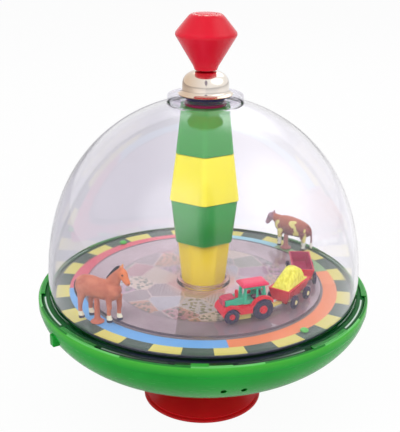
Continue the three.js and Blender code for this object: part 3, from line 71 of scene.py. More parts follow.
# Camera: a little above the dome and looking down on it, as the photograph was taken.
# The lens and the small shift give the photograph's frame.
camera = bpy.data.objects.new("camera", bpy.data.cameras.new("camera"))
scene.collection.objects.link(camera)
camera.data.sensor_width = 36
camera.data.lens = 72.14
camera.data.shift_x = -0.0095
camera.data.clip_start = 0.01
camera_place = (0, -0.4579, 0.2851)
camera_down, camera_roll = math.radians(20.507), math.radians(0.678)
camera.matrix_world = (
    Matrix.Translation(camera_place)
    @ Matrix.Rotation(math.pi / 2 - camera_down, 4, "X")
    @ Matrix.Rotation(camera_roll, 4, "Z")
)
scene.camera = camera
scene.view_settings.view_transform = "Standard"


# Room: a plain pale floor, which shows nearly white and keeps the top's shadow, under an even sky and lit
# cloths that fade at their edges. Every material of the scene is put together with the two classes below.
def linear(colour):
    """A screen colour of three parts from 0 to 255 as a linear one, by the sRGB curve. A colour of four parts
    is linear already, and both it and one from a node stay as they are."""
    if not isinstance(colour, tuple) or len(colour) != 3:
        return colour
    screen = np.array(colour) / 255
    light = np.where(screen < 0.04045, screen / 12.92, ((screen + 0.055) / 1.055) ** 2.4)
    return (*light.tolist(), 1.0)


white = (1, 1, 1, 1)


def arithmetic(operation, swapped=False):
    """A method that adds a Math node for a sign between a field and another value."""

    def method(field, other):
        first, second = (other, field) if swapped else (field, other)
        return field.finish.node("Math", {"operation": operation}, {0: first, 1: second})

    return method


class Field:
    """One output of a shader node. Sums, products and comparisons of numbers add Math nodes."""

    __add__, __radd__ = arithmetic("ADD"), arithmetic("ADD", True)
    __sub__, __rsub__ = arithmetic("SUBTRACT"), arithmetic("SUBTRACT", True)
    __mul__, __rmul__ = arithmetic("MULTIPLY"), arithmetic("MULTIPLY", True)
    __truediv__ = arithmetic("DIVIDE")
    __gt__, __lt__ = arithmetic("GREATER_THAN"), arithmetic("LESS_THAN")

    def __init__(self, finish, socket):
        self.finish, self.socket = finish, socket

    def maths(self, operation, *others):
        return self.finish.node("Math", {"operation": operation}, dict(enumerate([self, *others])))

    def ramp(self, low, high):
        """0 at low and 1 at high, smoothly between them; low may be above high."""
        settings = {"interpolation_type": "SMOOTHSTEP"}
        return self.finish.node("MapRange", settings, {"Value": self, "From Min": low, "From Max": high})

    def between(self, low, high):
        """1 between two values and 0 outside them."""
        return (self > low) * (self < high)


class Finish:
    """A material made of nodes, or a world: node() adds one and gives an output of it, and end() ends it."""

    def __init__(self, name, kind="materials"):
        self.made = getattr(bpy.data, kind).new(name)
        self.made.use_nodes = True
        self.tree = self.made.node_tree
        self.tree.nodes.clear()
        self.place = self.node("TexCoord", output="Object")

    def node(self, kind, settings=None, sockets=None, output=0):
        made = self.tree.nodes.new("ShaderNode" + kind)
        for name, value in (settings or {}).items():
            setattr(made, name, value)
        for name, value in (sockets or {}).items():
            if isinstance(value, Field):
                self.tree.links.new(value.socket, made.inputs[name])
            else:
                made.inputs[name].default_value = value
        return Field(self, made.outputs[output])

    def mix(self, share, first, second):
        """The first colour where the share is 0, the second where it is 1."""
        sockets = {"Factor": share, 6: linear(first), 7: linear(second)}
        return self.node("Mix", {"data_type": "RGBA"}, sockets, 2)

    def layered(self, body, *layers):
        """A colour with others laid over it in turn, each given after its share."""
        for share, colour in layers:
            body = self.mix(share, body, colour)
        return body

    def bands(self, share, stops):
        """Plain colours side by side: each reaches from its own place, from 0 to 1, to the next one's."""
        made = self.node("ValToRGB", None, {"Fac": share})
        ramp = made.socket.node.color_ramp
        ramp.interpolation = "CONSTANT"
        while len(ramp.elements) < len(stops):
            ramp.elements.new(0.5)
        for stop, (position, colour) in zip(ramp.elements, stops):
            stop.position, stop.color = position, linear(colour)
        return made

    def noise(self, scale, detail=2.0, place=None):
        return self.node("TexNoise", None, {"Vector": place or self.place, "Scale": scale, "Detail": detail})

    def streaks(self, detail, *scales):
        """A noise drawn out by its own scale along each axis."""
        return self.noise(1, detail, self.vector("MULTIPLY", self.place, scales))

    def axis(self, name, place=None):
        return self.node("SeparateXYZ", None, {0: place or self.place}, name)

    def radius(self):
        """Distance from the vertical axis."""
        x, y = self.axis("X"), self.axis("Y")
        return (x * x + y * y).maths("SQRT")

    def turn(self):
        """Share of a whole turn about the vertical axis, from -1/2 to 1/2."""
        return self.axis("Y").maths("ARCTAN2", self.axis("X")) / (2 * math.pi)

    def vector(self, operation, first, second=(0, 0, 0), output="Vector"):
        return self.node("VectorMath", {"operation": operation}, {0: first, 1: second}, output)

    def ray(self, kind):
        """1 where a ray of this kind sees the surface."""
        return self.node("LightPath", output=f"Is {kind} Ray")

    def blend(self, share, first, second):
        """The first shader where the share is 0, the second where it is 1."""
        return self.node("MixShader", None, {0: share, 1: first, 2: second})

    def end(self, shader, kind="OutputMaterial"):
        out = self.tree.nodes.new("ShaderNode" + kind)
        self.tree.links.new(shader.socket, out.inputs["Surface"])
        return self.made

    def principled(self, body, roughness, bump=None, **sockets):
        """One Principled shader: bump gives a height, a strength and a depth, and further sockets are given
        by name with _ for a space."""
        named = {name.replace("_", " "): value for name, value in sockets.items()}
        if bump:
            bump = dict(zip(("Height", "Strength", "Distance"), bump))
            named["Normal"] = self.node("Bump", None, bump, "Normal")
        named.update({"Base Color": linear(body), "Roughness": roughness})
        return self.node("BsdfPrincipled", None, named)

    def metal(self, body, roughness, bump):
        return self.end(self.principled(body, roughness, bump, Metallic=1.0))

    def plastic(self, body, roughness, bump=None, specular=0.2, ior=1.5, coat=(0.0, 0.03)):
        """Ends the material as plastic, with the weak gloss of a moulding in soft light."""
        gloss = dict(IOR=ior, Specular_IOR_Level=specular, Coat_Weight=coat[0], Coat_Roughness=coat[1])
        return self.end(self.principled(body, roughness, bump, **gloss))

    def drift(self, scale, detail, first, second, place=None):
        """A colour that wanders slowly between two."""
        return self.mix(self.noise(scale, detail, place).ramp(0.3, 0.7), first, second)


def show_white(finish, plain, share):
    """White light mixed into a shader where the camera sees it. Through glass it goes from lilac on the left
    to white on the right, as a backdrop lit from one side; a reflection shows a quarter of it."""
    left_lilac, right_white = (0.70, 0.685, 0.74, 1), (1.12, 1.11, 1.13, 1)
    camera_back = 0.46
    camera = finish.ray("Camera")
    seen = camera.maths("MAXIMUM", finish.ray("Glossy") * 0.25).maths("MAXIMUM", finish.ray("Transmission"))
    slant = finish.axis("X") / (finish.axis("Y") + camera_back)
    behind = finish.mix(slant.ramp(-0.1, 0.08), left_lilac, right_white)
    glow = finish.node("Emission", None, {"Color": finish.mix(camera, behind, white), "Strength": 1.0})
    return finish.blend(seen * share, plain, glow)


def stage_sheet(name, width, height, material):
    """A flat sheet of the room, which is no piece of the top."""
    x, y = width / 2, height / 2
    mesh = bpy.data.meshes.new(name)
    mesh.from_pydata([(-x, -y, 0), (x, -y, 0), (x, y, 0), (-x, y, 0)], [], [(0, 1, 2, 3)])
    mesh.materials.append(material)
    sheet = bpy.data.objects.new(name, mesh)
    scene.collection.objects.link(sheet)
    return sheet


floor_finish = Finish("pale floor")
floor_colour = floor_finish.mix(floor_finish.noise(40, 3), (240, 240, 241), (246, 246, 246))
floor_plain = floor_finish.principled(floor_colour, 0.8, Specular_IOR_Level=0.1)
floor_width = 12
stage_sheet("floor", floor_width, floor_width, floor_finish.end(show_white(floor_finish, floor_plain, 0.95)))

sky = Finish("even sky", "worlds")
sky_light, sky_more_where_seen = 0.47, 0.48
sky_seen = sky.ray("Camera").maths("MAXIMUM", sky.ray("Glossy"))
sky_strength = sky_seen.maths("MULTIPLY_ADD", sky_more_where_seen, sky_light)
scene.world = sky.end(sky.node("Background", None, {"Color": white, "Strength": sky_strength}), "OutputWorld")


def card(name, place, width, height, colour, strength, mirrored=True):
    """A lit cloth that faces the top. It fades from the middle to nothing at the edges."""
    finish = Finish(name)
    middle_aimed_at = Vector((0, 0, 0.1))
    across, up = finish.axis("X") / (width / 2), finish.axis("Y") / (height / 2)
    reach = (across * across + up * up).maths("SQRT")
    light = finish.node("Emission", None, {"Color": colour, "Strength": strength})
    light = finish.blend(reach.ramp(1.0, 0.35), finish.node("BsdfTransparent"), light)
    cloth = stage_sheet(name, width, height, finish.end(light))
    cloth.visible_glossy = mirrored
    turned_to = (Vector(place) - middle_aimed_at).to_track_quat("Z", "Y").to_matrix().to_4x4()
    cloth.matrix_world = Matrix.Translation(place) @ turned_to


card("key cloth", (-0.5, -0.8, 1.0), 1.5, 1.5, white, 3.5, mirrored=False)
card("side cloth", (0.9, -0.25, 0.9), 2.0, 1.6, white, 1.9)
card("back cloth", (0.2, 0.9, 1.0), 1.4, 1.3, white, 2.4)
card("dark doorway", (0.06, -1.4, 1.2), 0.5, 2.3, (0.5, 0.44, 0.62, 1), 0.5)


# Foot: a red flared cone with a bead round its rest, moulded in one piece and hollow below.
# It is turned from one closed line, whose corners are eased as a mould's are.
def eased(corners, reach, steps=6):
    """A closed line of (radius, height) points whose corners are rounded: each is a parabola drawn toward the
    corner, which starts and ends on the two sides, reach from it or just under half a side."""
    corners = np.asarray(corners, float)
    reach = np.broadcast_to(np.asarray(reach, float), (len(corners),))[:, None]
    back = np.roll(corners, 1, 0) - corners
    ahead = np.roll(corners, -1, 0) - corners
    back_length = np.linalg.norm(back, axis=1, keepdims=True)
    ahead_length = np.linalg.norm(ahead, axis=1, keepdims=True)
    reach = np.minimum(reach, 0.49 * np.minimum(back_length, ahead_length))
    start = (corners + back / back_length * reach)[:, None]
    end = (corners + ahead / ahead_length * reach)[:, None]
    share = np.linspace(0, 1, steps)[None, :, None]
    line = (1 - share) ** 2 * start + 2 * share * (1 - share) * corners[:, None] + share**2 * end
    return line.reshape(-1, 2)


def spun(x, y, height, angle):
    """Points turned about the vertical axis: (x cos - y sin, x sin + y cos, height)."""
    cos, sin = np.cos(angle), np.sin(angle)
    return np.stack(np.broadcast_arrays(x * cos - y * sin, x * sin + y * cos, height), -1)


def whole_turn(steps):
    return np.linspace(0, 2 * np.pi, steps, endpoint=False)


def turned(line, steps=192):
    """A closed line of (radius, height) points carried round the vertical axis, as a grid of points."""
    return spun(line[:, 0], 0, line[:, 1], whole_turn(steps)[:, None])


def skin(grids, capped=False):
    """One mesh over grids of points in millimetres, its faces outward, with doubled corners merged. Each grid
    closes on itself both ways, or, if capped, its first and last row are drawn together in their middle."""
    points, faces, first = [], [], 0
    for grid in grids:
        if capped:
            start, end = (0 * row + row.mean(1, keepdims=True) for row in (grid[:1], grid[-1:]))
            grid = np.concatenate([start, grid, end])
        rows, columns = grid.shape[:2]
        i, j = np.meshgrid(np.arange(rows - 1 if capped else rows), np.arange(columns), indexing="ij")
        next_i, next_j = (i + 1) % rows, (j + 1) % columns
        corners = [i * columns + j, next_i * columns + j, next_i * columns + next_j, i * columns + next_j]
        points.append(grid.reshape(-1, 3) * millimetre)
        faces.append(np.stack(corners, -1).reshape(-1, 4) + first)
        first += rows * columns
    mesh = bpy.data.meshes.new("skin")
    mesh.from_pydata(np.concatenate(points).tolist(), [], np.concatenate(faces).tolist())
    form = bmesh.new()
    form.from_mesh(mesh)
    bmesh.ops.remove_doubles(form, verts=form.verts, dist=2e-7)
    loose = [edge for edge in form.edges if not edge.link_faces]
    bmesh.ops.delete(form, geom=loose, context="EDGES")
    bmesh.ops.recalc_face_normals(form, faces=form.faces)
    form.to_mesh(mesh)
    form.free()
    return mesh


def add_piece(name, shape, material, stands_for, crease=35):
    """A mesh, or grids to skin, as a piece that rides with its CAD node's body and stands for it."""
    mesh = skin(shape) if isinstance(shape, list) else shape
    mesh.name = name
    mesh.materials.append(material)
    mesh.shade_smooth()
    mesh.set_sharp_from_angle(angle=math.radians(crease))
    piece = bpy.data.objects.new(name, mesh)
    scene.collection.objects.link(piece)
    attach(piece, nodes[stands_for]["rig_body"])
    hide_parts(stands_for)
    return piece


def scaled(colour, factor):
    return (*[part * factor for part in linear(colour)[:3]], 1.0)


def moulded(name, colour, roughness=0.26, drift=0.07, ripple=0.12):
    """Injection-moulded plastic: a colour that drifts a little, specks of pigment, a rippled skin and
    hair-thin scuffs that take off the gloss."""
    finish = Finish(name)
    slow = finish.noise(28, 2)
    specks = finish.noise(2600, 1).ramp(0.62, 0.75)
    body = finish.mix(slow.ramp(0.3, 0.7), scaled(colour, 1 - drift), scaled(colour, 1 + drift))
    scuffs = finish.streaks(3, 70, 260, 1500).ramp(0.6, 0.74)
    return finish.plastic(
        finish.mix(specks * 0.12, body, scaled(colour, 0.72)),
        scuffs * 0.22 + (slow * 0.06 + roughness - 0.03),
        (finish.noise(420, 3), ripple, 0.0005),
        coat=(0.06, 0.1),
    )


foot_line = eased(
    [
        (1.9, 6), (6.2, 6), (6.2, 16.9), (30, 1.9), (30, 0), (35, 0), (35, 1.6), (32.8, 1.9),
        (32.8, 2.3), (33.6, 2.6), (7.4, 19), (7.4, 25.2), (1.9, 25.2),
    ],
    [0.3, 0.4, 1.2, 1.0, 0.4, 0.8, 0.8, 0.3, 0.2, 0.5, 1.6, 0.4, 0.3],
)
add_piece("turned_foot", [turned(foot_line)], moulded("foot red", (230, 26, 34), 0.3), "foot")


# Pivot: a steel pin through the foot, its spring clip, a plastic thrust washer and the flanged bearing bush
# in the bowl's hub. They are hidden in use, and keep their CAD shape with the finish of the real parts.
def turned_steel(name, colour, roughness, lay=900):
    """Steel as it comes from the lathe or the press: fine rings across the axis and faint stains."""
    finish = Finish(name)
    rings = finish.streaks(2, 30, 30, lay)
    stains = finish.noise(160, 3)
    body = finish.mix(stains.ramp(0.35, 0.7), scaled(colour, 0.88), colour)
    return finish.metal(body, rings * 0.16 + (stains * 0.08 + roughness - 0.08), (rings, 0.15, 0.0002))


def refinish(node, material):
    nodes[node].data.materials.clear()
    nodes[node].data.materials.append(material)


pin_steel = turned_steel("pin steel", (196, 198, 202), 0.24)
bearing_white = moulded("bearing white", (226, 224, 214), 0.4, 0.03)
refinish("pivot_pin", pin_steel)
refinish("pivot_clip", turned_steel("spring steel", (150, 152, 158), 0.34, 400))
refinish("thrust_washer", bearing_white)
refinish("pivot_bush", bearing_white)


# Bowl: the green lower shell, moulded in one with its rim, eight tabs that hold the dome's flange down,
# a lug under the rim, the ring and posts that carry the printed disc, and two small vent holes.
cone_radius, side_reach, side_top, side_drop, side_power = 61, 33, 65.8, 28.2, 1.25


def bowl_side(radius_in, height_in, steps=48):
    """The curved side from the cone up to the rim, a quarter of a squared circle: radius = cone_radius +
    reach sin(t)^power and height = side_top - drop cos(t)^power, drawn in where asked."""
    t = np.linspace(0, np.pi / 2, steps)
    reach, drop = side_reach - radius_in, side_drop - height_in
    radius, height = cone_radius + reach * np.sin(t) ** side_power, side_top - drop * np.cos(t) ** side_power
    return np.stack([radius, height], -1)


bowl_wall, floor_wall = 2.2, 2.6
inside = bowl_side(bowl_wall, floor_wall)[::-1]
inside = inside[inside[:, 1] < 66]
rim_line = eased(
    [
        (94, 65.9), (94.05, 65.2), (94.4, 66.0), (94.4, 70.4), (93.4, 71.2), (92.5, 71.2), (92.5, 68.6),
        (86.3, 68.6), (86.3, 66.4), (91.8, 66.4),
    ],
    [0.2, 0.2, 0.3, 1.0, 0.7, 0.5, 0.4, 0.4, 0.3, 0.3],
    4,
)
hub_line = [
    (14.6, 31.8), (13.6, 33), (13.6, 70.8), (11.5, 70.8), (11.5, 33.5), (7.6, 33.5), (7.6, 38.3), (5.5, 38.3),
    (5.5, 29.3), (12.2, 29.3), (12.8, 29.35),
]
support_outer, support_inner, support_top = 84, 82, 70.8
support_foot = np.argmin(abs(inside[:, 0] - (support_outer + support_inner) / 2))
foot_height = inside[support_foot, 1]
support_ring = [
    (support_outer, foot_height), (support_outer, support_top), (support_inner, support_top),
    (support_inner, foot_height - 0.4),
]
bowl_line = np.concatenate(
    [bowl_side(0, 0), rim_line[4:], inside[:support_foot], support_ring, inside[support_foot + 1 :], hub_line]
)


def rod(radius, start, end, steps=32):
    """A round bar between two points, as a grid of two rings square to it."""
    start, end = np.array(start, float), np.array(end, float)
    along = (end - start) / np.linalg.norm(end - start)
    side = np.cross(along, (0, 0, 1) if abs(along[2]) < 0.9 else (1, 0, 0))
    side /= np.linalg.norm(side)
    turn = whole_turn(steps)[:, None]
    rim = radius * (np.cos(turn) * side + np.sin(turn) * np.cross(along, side))
    return np.stack([start + rim, end + rim])


def polar(radius, azimuth, height=0.0):
    return spun(radius, 0, height, math.radians(azimuth))


def modified(mesh, *steps):
    """A mesh after modifiers, each given by its kind and its settings."""
    body = bpy.data.objects.new("body", mesh)
    scene.collection.objects.link(body)
    for kind, settings in steps:
        modifier = body.modifiers.new(kind, kind)
        for name, value in settings.items():
            setattr(modifier, name, value)
    bpy.context.view_layer.update()
    result = bpy.data.meshes.new_from_object(body.evaluated_get(bpy.context.evaluated_depsgraph_get()))
    bpy.data.objects.remove(body)
    return result


def bored(mesh, cutters):
    """A mesh with holes bored by closed forms."""
    drill = bpy.data.objects.new("drill", skin(cutters, capped=True))
    scene.collection.objects.link(drill)
    result = modified(mesh, ("BOOLEAN", {"operation": "DIFFERENCE", "solver": "EXACT", "object": drill}))
    bpy.data.objects.remove(drill)
    return result


vent_radius, vent_height, screw_bore_radius, screw_reach = 1.6, 54.3, 2.8, 8.9
vents = [
    rod(vent_radius, polar(70, azimuth, vent_height), polar(96, azimuth, vent_height))
    for azimuth in (276.9, 283.6)
]
screw_bores = [
    rod(screw_bore_radius, polar(screw_reach, azimuth, 28), polar(screw_reach, azimuth, 31.4))
    for azimuth in (90, 270)
]
bowl_shell = bored(skin([turned(bowl_line, 256)]), vents + screw_bores)


def quarter(ease, steps=5):
    """A quarter circle at an edge: how far in, ease (1 - sin t), and how far along, ease (1 - cos t)."""
    t = np.linspace(0, np.pi / 2, steps)
    return ease * (1 - np.sin(t)), ease * (1 - np.cos(t))


def bar(azimuth, near, far, low, high, width, ease=0.35):
    """A block that points outward: an eased (reach, across) section, with the top and bottom drawn in by a
    quarter circle."""
    half = width / 2
    inward, along = quarter(ease)
    inset = np.concatenate([inward, along])
    height = np.concatenate([low + along, high - inward])
    outline = eased([(near, -half), (far, -half), (far, half), (near, half)], ease)
    middle = np.array([(near + far) / 2, 0])
    size = np.array([(far - near) / 2, half])
    share = (size - inset[:, None]) / size
    flat = middle + (outline - middle)[None] * share[:, None]
    return spun(flat[..., 0], flat[..., 1], height[:, None], math.radians(azimuth))


def arc_bar(azimuth, width, near, far, low, high, ease=0.3, steps=24):
    """A bar bent round the axis: an eased (radius, height) section carried along an arc, as wide as asked at
    the far radius, and drawn in at both ends by a quarter circle."""
    section = eased([(near, low), (far, low), (far, high), (near, high)], ease)
    middle = section.mean(0)
    inward, end = quarter(ease)
    along = np.concatenate([end, np.linspace(ease, width - ease, steps)[1:-1], width - end[::-1]])
    inset = np.concatenate([inward, np.zeros(steps - 2), inward[::-1]])
    half = np.array([far - near, high - low]) / 2
    rows = middle + (section - middle)[None] * (1 - inset[:, None] / half)[:, None]
    turn = math.radians(azimuth) + ((along - width / 2) / far)[:, None]
    return spun(rows[..., 0], 0, rows[..., 1], turn)


tabs = [arc_bar(0.5 + 45 * k, width=28.6, near=90.6, far=93.5, low=70.85, high=71.6) for k in range(8)]
lug = [bar(212, near=89, far=94.9, low=57.6, high=64, width=4.5, ease=0.6)]
peg_reach, peg_azimuths, post_radius = 78, (132, 312), 3.4
posts = [
    rod(post_radius, polar(peg_reach, azimuth, 55), polar(peg_reach, azimuth, support_top), 40)
    for azimuth in peg_azimuths
]


def together(*meshes):
    """One mesh of several closed ones, which may stand in each other."""
    form = bmesh.new()
    for mesh in meshes:
        form.from_mesh(mesh)
    form.to_mesh(meshes[0])
    form.free()
    return meshes[0]


def tab_gaps(turn, start, end):
    """1 over a share of each eighth of the rim, which starts where a tab does."""
    tab_half_width, tabs_round = 8.8 / 360, 8
    return ((turn + tab_half_width) * tabs_round).maths("FRACT").between(start, end)


def sideness(across):
    """0 at the front and back of the rim and 1 at its sides."""
    shelf = 0.09
    return (across / shelf).maths("ABSOLUTE").ramp(0.3, 0.95)


def bowl_green():
    """The bowl's green with light and shade painted in: painted shade deepens it near the cone and painted
    light makes it paler up the rim. The tabs' lips carry a painted highlight in the gaps and painted shade on
    the tabs, the tab tops are painted lit at the front and sides, and the floor inside them is painted dark,
    as the shade where light is lost between the shells, greener at the sides."""
    finish = Finish("bowl green")
    up, radius, turn = finish.axis("Z"), finish.radius(), finish.turn()
    sides = sideness(finish.axis("X"))
    window = tab_gaps(turn, 0.12, 0.62)
    lip = radius.ramp(0.0926, 0.0931) * radius.ramp(0.0943, 0.0939) * up.ramp(0.0705, 0.071)
    dark = radius.ramp(0.0931, 0.0926) * up.ramp(0.0655, 0.068)
    lit = turn.between(-93.5 / 360, -88 / 360).maths("MAXIMUM", sides * 0.8)
    body = finish.layered(
        finish.drift(26, 3, (20, 146, 46), (30, 158, 54)),
        # Painted light: the rim band paler than the rest.
        (up.ramp(0.0655, 0.071), (70, 176, 58)),
        # Painted highlight on the lips in the gaps between the tabs, and painted shade on the lips of the
        # tabs.
        (lip * window * 0.6, (126, 208, 130)),
        (lip * (1 - window) * 0.8, (24, 104, 46)),
        # Painted shade on the floor inside the tabs, greener at the sides as painted light.
        (dark * 0.95, finish.mix(sides, (10, 34, 20), (6, 84, 32))),
        # Painted light on the tab tops at the front and sides.
        (up.ramp(0.0712, 0.0714) * lit * 0.85, (50, 160, 58)),
        # Painted shade low on the bowl, near the cone.
        (up.ramp(0.052, 0.034) * 0.8, (6, 126, 32)),
    )
    flow = finish.streaks(2, 60, 60, 900)
    scuffs = finish.streaks(3, 80, 300, 1200).ramp(0.62, 0.76)
    ripple = (flow + finish.noise(500, 2) * 0.5, 0.1, 0.0004)
    return finish.plastic(body, scuffs * 0.2 + (flow * 0.08 + 0.2), ripple, 0.12, coat=(0.03, 0.12))


bowl_mesh = together(bowl_shell, skin(tabs + lug + posts, capped=True))
add_piece("moulded_bowl", bowl_mesh, bowl_green(), "bowl")


# Printed disc: a flat plate of white plastic, printed in one pass. Outside is a checked ring, then a ring of
# coloured bands and a plain road; the middle holds a patchwork of fields with furrows, hedges and bushes.
disc_line = eased([(11.6, 71.1), (85.5, 71.1), (85.5, 72.6), (11.6, 72.6)], 0.3)


def patchwork(finish, radius):
    """Cells that each have their own colour, furrow direction and share of bushes, with lanes between them
    and a warm glow round the hub."""
    x, y = finish.axis("X"), finish.axis("Y")
    wander = finish.noise(240, 2) - 0.5
    flat = {"voronoi_dimensions": "2D"}
    shifted = finish.vector("ADD", finish.place, (0.013, 0.021, 0.0))
    cells = {"Vector": shifted, "Scale": 66.0, "Randomness": 0.95}
    cell = finish.node("TexVoronoi", flat, cells, "Color")
    edge = finish.node("TexVoronoi", {**flat, "feature": "DISTANCE_TO_EDGE"}, cells, "Distance")
    bush = finish.node("TexVoronoi", flat, {"Vector": finish.place, "Scale": 330.0}, "Distance")
    parts = ("Red", "Green", "Blue")
    pick, slant, kind = (finish.node("SeparateColor", None, {0: cell}, part) for part in parts)
    fields = finish.bands(pick, [
        (0.0, (206, 150, 150)), (0.16, (232, 216, 190)), (0.32, (176, 160, 158)), (0.48, (198, 200, 206)),
        (0.62, (214, 160, 124)), (0.74, (168, 172, 150)), (0.86, (196, 158, 176)),
    ])
    angle = slant * 6.2832  # a whole turn
    furrow_way = x * angle.maths("COSINE") + y * angle.maths("SINE")
    furrow = ((furrow_way + wander * 0.0012) * 3600).maths("SINE").ramp(0.1, 0.9)
    return finish.layered(
        fields,
        (furrow * (kind > 0.35) * 0.5, (112, 84, 84)),
        ((bush + wander * 0.25).ramp(0.36, 0.3) * (kind < 0.4) * 0.85, (96, 116, 92)),
        ((edge + wander * 0.03).ramp(0.028, 0.016), (224, 206, 194)),
        (radius.ramp(26, 15) * 0.55, (236, 168, 132)),
    )


def print_finish():
    """The print: rings laid over each other from the middle outward, with thin dark lines between some of
    them and a navy margin at the edge.
    """
    finish = Finish("disc print")
    radius, turn = finish.radius() * 1000, finish.turn().maths("FRACT")
    grain = finish.noise(1500, 2)
    checks = finish.mix(((turn - 4 / 360) * 16).maths("FRACT") < 0.5, (38, 68, 52), (214, 204, 96))
    bands = finish.bands(turn, [(degrees / 360, colour) for degrees, colour in (
        (0, (240, 140, 84)), (13.4, (132, 168, 116)), (50, (150, 206, 222)), (95, (214, 84, 104)),
        (186.5, (92, 162, 220)), (279, (232, 126, 66)),
    )])
    body = finish.layered(
        patchwork(finish, radius),
        (radius > 50, finish.mix(finish.noise(60, 4).ramp(0.35, 0.65), (182, 156, 158), (200, 178, 178))),
        (radius.between(49.5, 50.3), (150, 132, 132)),
        # A thin dark line just under the clear disc's edge.
        (radius.between(67.4, 69), (120, 110, 112)),
        (radius > 69, bands),
        (radius > 77, checks),
        # A navy margin at the plate's edge.
        (radius > 84.6, (34, 34, 56)),
        (grain.ramp(0.3, 0.7) * 0.06, (255, 255, 255)),
    )
    return finish.plastic(body, grain * 0.1 + 0.28, (finish.noise(320, 3), 0.06, 0.0004))


add_piece("printed_plate", [turned(disc_line, 256)], print_finish(), "printed_disc")


# Disc pegs: two green plastic rivets whose low round heads hold the disc on its posts.
# The first stands on the far side, the second on the near side, each at the middle of its post.
peg_line = eased(
    [(0, 62.9), (1.2, 62.9), (1.5, 63.6), (1.5, 72.9), (2.2, 72.9), (2.2, 73.8), (0.9, 74.6), (0, 74.6)],
    [0, 0.2, 0.4, 0.1, 0.2, 0.5, 0.6, 0],
)
peg_green = moulded("peg green", (92, 190, 84), 0.3)
for number, azimuth in enumerate(peg_azimuths, 1):
    peg = turned(peg_line, 48) + polar(peg_reach, azimuth)
    add_piece(f"peg_{number}", [peg], peg_green, f"disc_peg_{number}")


# Column: four hollow mouldings, six-sided and rounded at the corners, stacked on round spigots and held by
# two screws through the bowl's floor. They are glossy and slightly see-through at their thin edges.
def six_sided(inradius, corner, turn, first=30.0):
    """Distance from the axis to a hexagon with round corners: beside a corner a circle's far side, d cos a +
    sqrt(corner^2 - d^2 sin^2 a), and elsewhere the flat's inradius / cos a."""
    bend = (turn - math.radians(first) + np.pi / 6) % (np.pi / 3) - np.pi / 6
    centre = (inradius - corner) / np.cos(np.pi / 6)
    limit = np.arctan2(corner / 2, centre + corner * np.cos(np.pi / 6))
    flat = inradius / np.cos(np.pi / 6 - abs(bend))
    inner = np.maximum(corner**2 - (centre * np.sin(bend)) ** 2, 0)
    return np.where(abs(bend) < limit, centre * np.cos(bend) + np.sqrt(inner), flat)


def column_piece(low, high, base, top, corner, bore, spigot, spigot_top, first=30.0, collar=None):
    """Rows up the six-sided outside, whose inradius goes evenly from base to top, then in over the shoulder,
    up the round spigot and down the bore."""
    turn = whole_turn(252)
    slope = (top - base) / (high - low)
    edge = 0.35
    rows = [
        (six_sided(base + slope * (height - low) - inset, corner, turn, first), height)
        for height, inset in (
            (low, edge), (low + 0.3 * edge, 0.3 * edge), (low + edge, 0),
            (high - edge, 0), (high - 0.3 * edge, 0.3 * edge), (high, edge),
        )
    ]
    if collar:
        lip, start = collar
        inradius = base + slope * (start - low)
        rows[3:] = [
            (six_sided(inradius + out, corner, turn, first), height)
            for height, out in (
                (start, 0), (start, lip - 0.25), (start + 0.1, lip - 0.05), (start + 0.25, lip),
                (high - 0.3, lip), (high - 0.1, lip - 0.1), (high, lip - 0.35),
            )
        ]
    for radius, height in (
        (spigot, high), (spigot, spigot_top - 0.3), (spigot - 0.3, spigot_top), (bore, spigot_top),
        (bore, low),
    ):
        rows.append((np.full_like(turn, radius), height))
    radius, height = (np.array(part) for part in zip(*rows))
    return spun(radius, 0, height[:, None], turn)


column_neck = turned(eased([(9.3, 33.8), (11.2, 33.8), (11.2, 75), (9.3, 75)], 0.2), 96)
for place, tone, colour, extra, sizes in (
    ("lower", "yellow", (246, 216, 50), [column_neck],
     dict(low=74.6, high=101.1, base=11, top=13.2, corner=2, bore=9.3, spigot=11, spigot_top=101.35,
          first=0.0)),
    ("lower", "green", (44, 152, 62), [],
     dict(low=101.4, high=126.4, base=15.6, top=18.3, corner=4, bore=13.7, spigot=15.2, spigot_top=126.65)),
    ("upper", "yellow", (255, 244, 56), [],
     dict(low=126.7, high=152.4, base=19, top=15.65, corner=4, bore=10.9, spigot=12.4, spigot_top=152.65)),
    ("upper", "green", (72, 170, 80), [],
     dict(low=152.7, high=177.9, base=15.65, top=12.8, corner=4, bore=9.9, spigot=10.2, spigot_top=177.95,
          collar=(0.5, 176.6))),
):
    material = moulded(f"column {place} {tone}", colour, 0.2, 0.04, 0.08)
    add_piece(f"{place}_{tone}_moulding", [column_piece(**sizes), *extra], material,
              f"column_{place}_{tone}", 25)
refinish("column_screw_1", pin_steel)
refinish("column_screw_2", pin_steel)


# Crimson washer and navy bush: a flat plastic ring under the dome's ledge, and the flanged bearing above it,
# moulded with ten face teeth that the driver nut drops into. Both show through the clear collar.
washer_line = eased([(8.5, 178.2), (11.3, 178.2), (11.3, 179.5), (8.5, 179.5)], 0.3)
washer_crimson = moulded("crimson plastic", (168, 30, 76), 0.3)
add_piece("crimson_ring", [turned(washer_line, 96)], washer_crimson, "crimson_washer")
bush_line = eased(
    [(3.4, 169.9), (8.2, 169.9), (8.2, 179.8), (10.1, 179.8), (10.1, 181.9), (11.3, 181.9), (11.3, 186.4),
     (3.4, 186.4)],
    0.25,
)
teeth = [bar(36 * k, near=5.0, far=9.6, low=185.9, high=187.3, width=1.5, ease=0.2) for k in range(10)]
bush_mesh = together(skin([turned(bush_line, 96)]), skin(teeth, capped=True))
navy = moulded("navy plastic", (44, 42, 92), 0.3)
add_piece("toothed_bush", bush_mesh, navy, "column_bush")


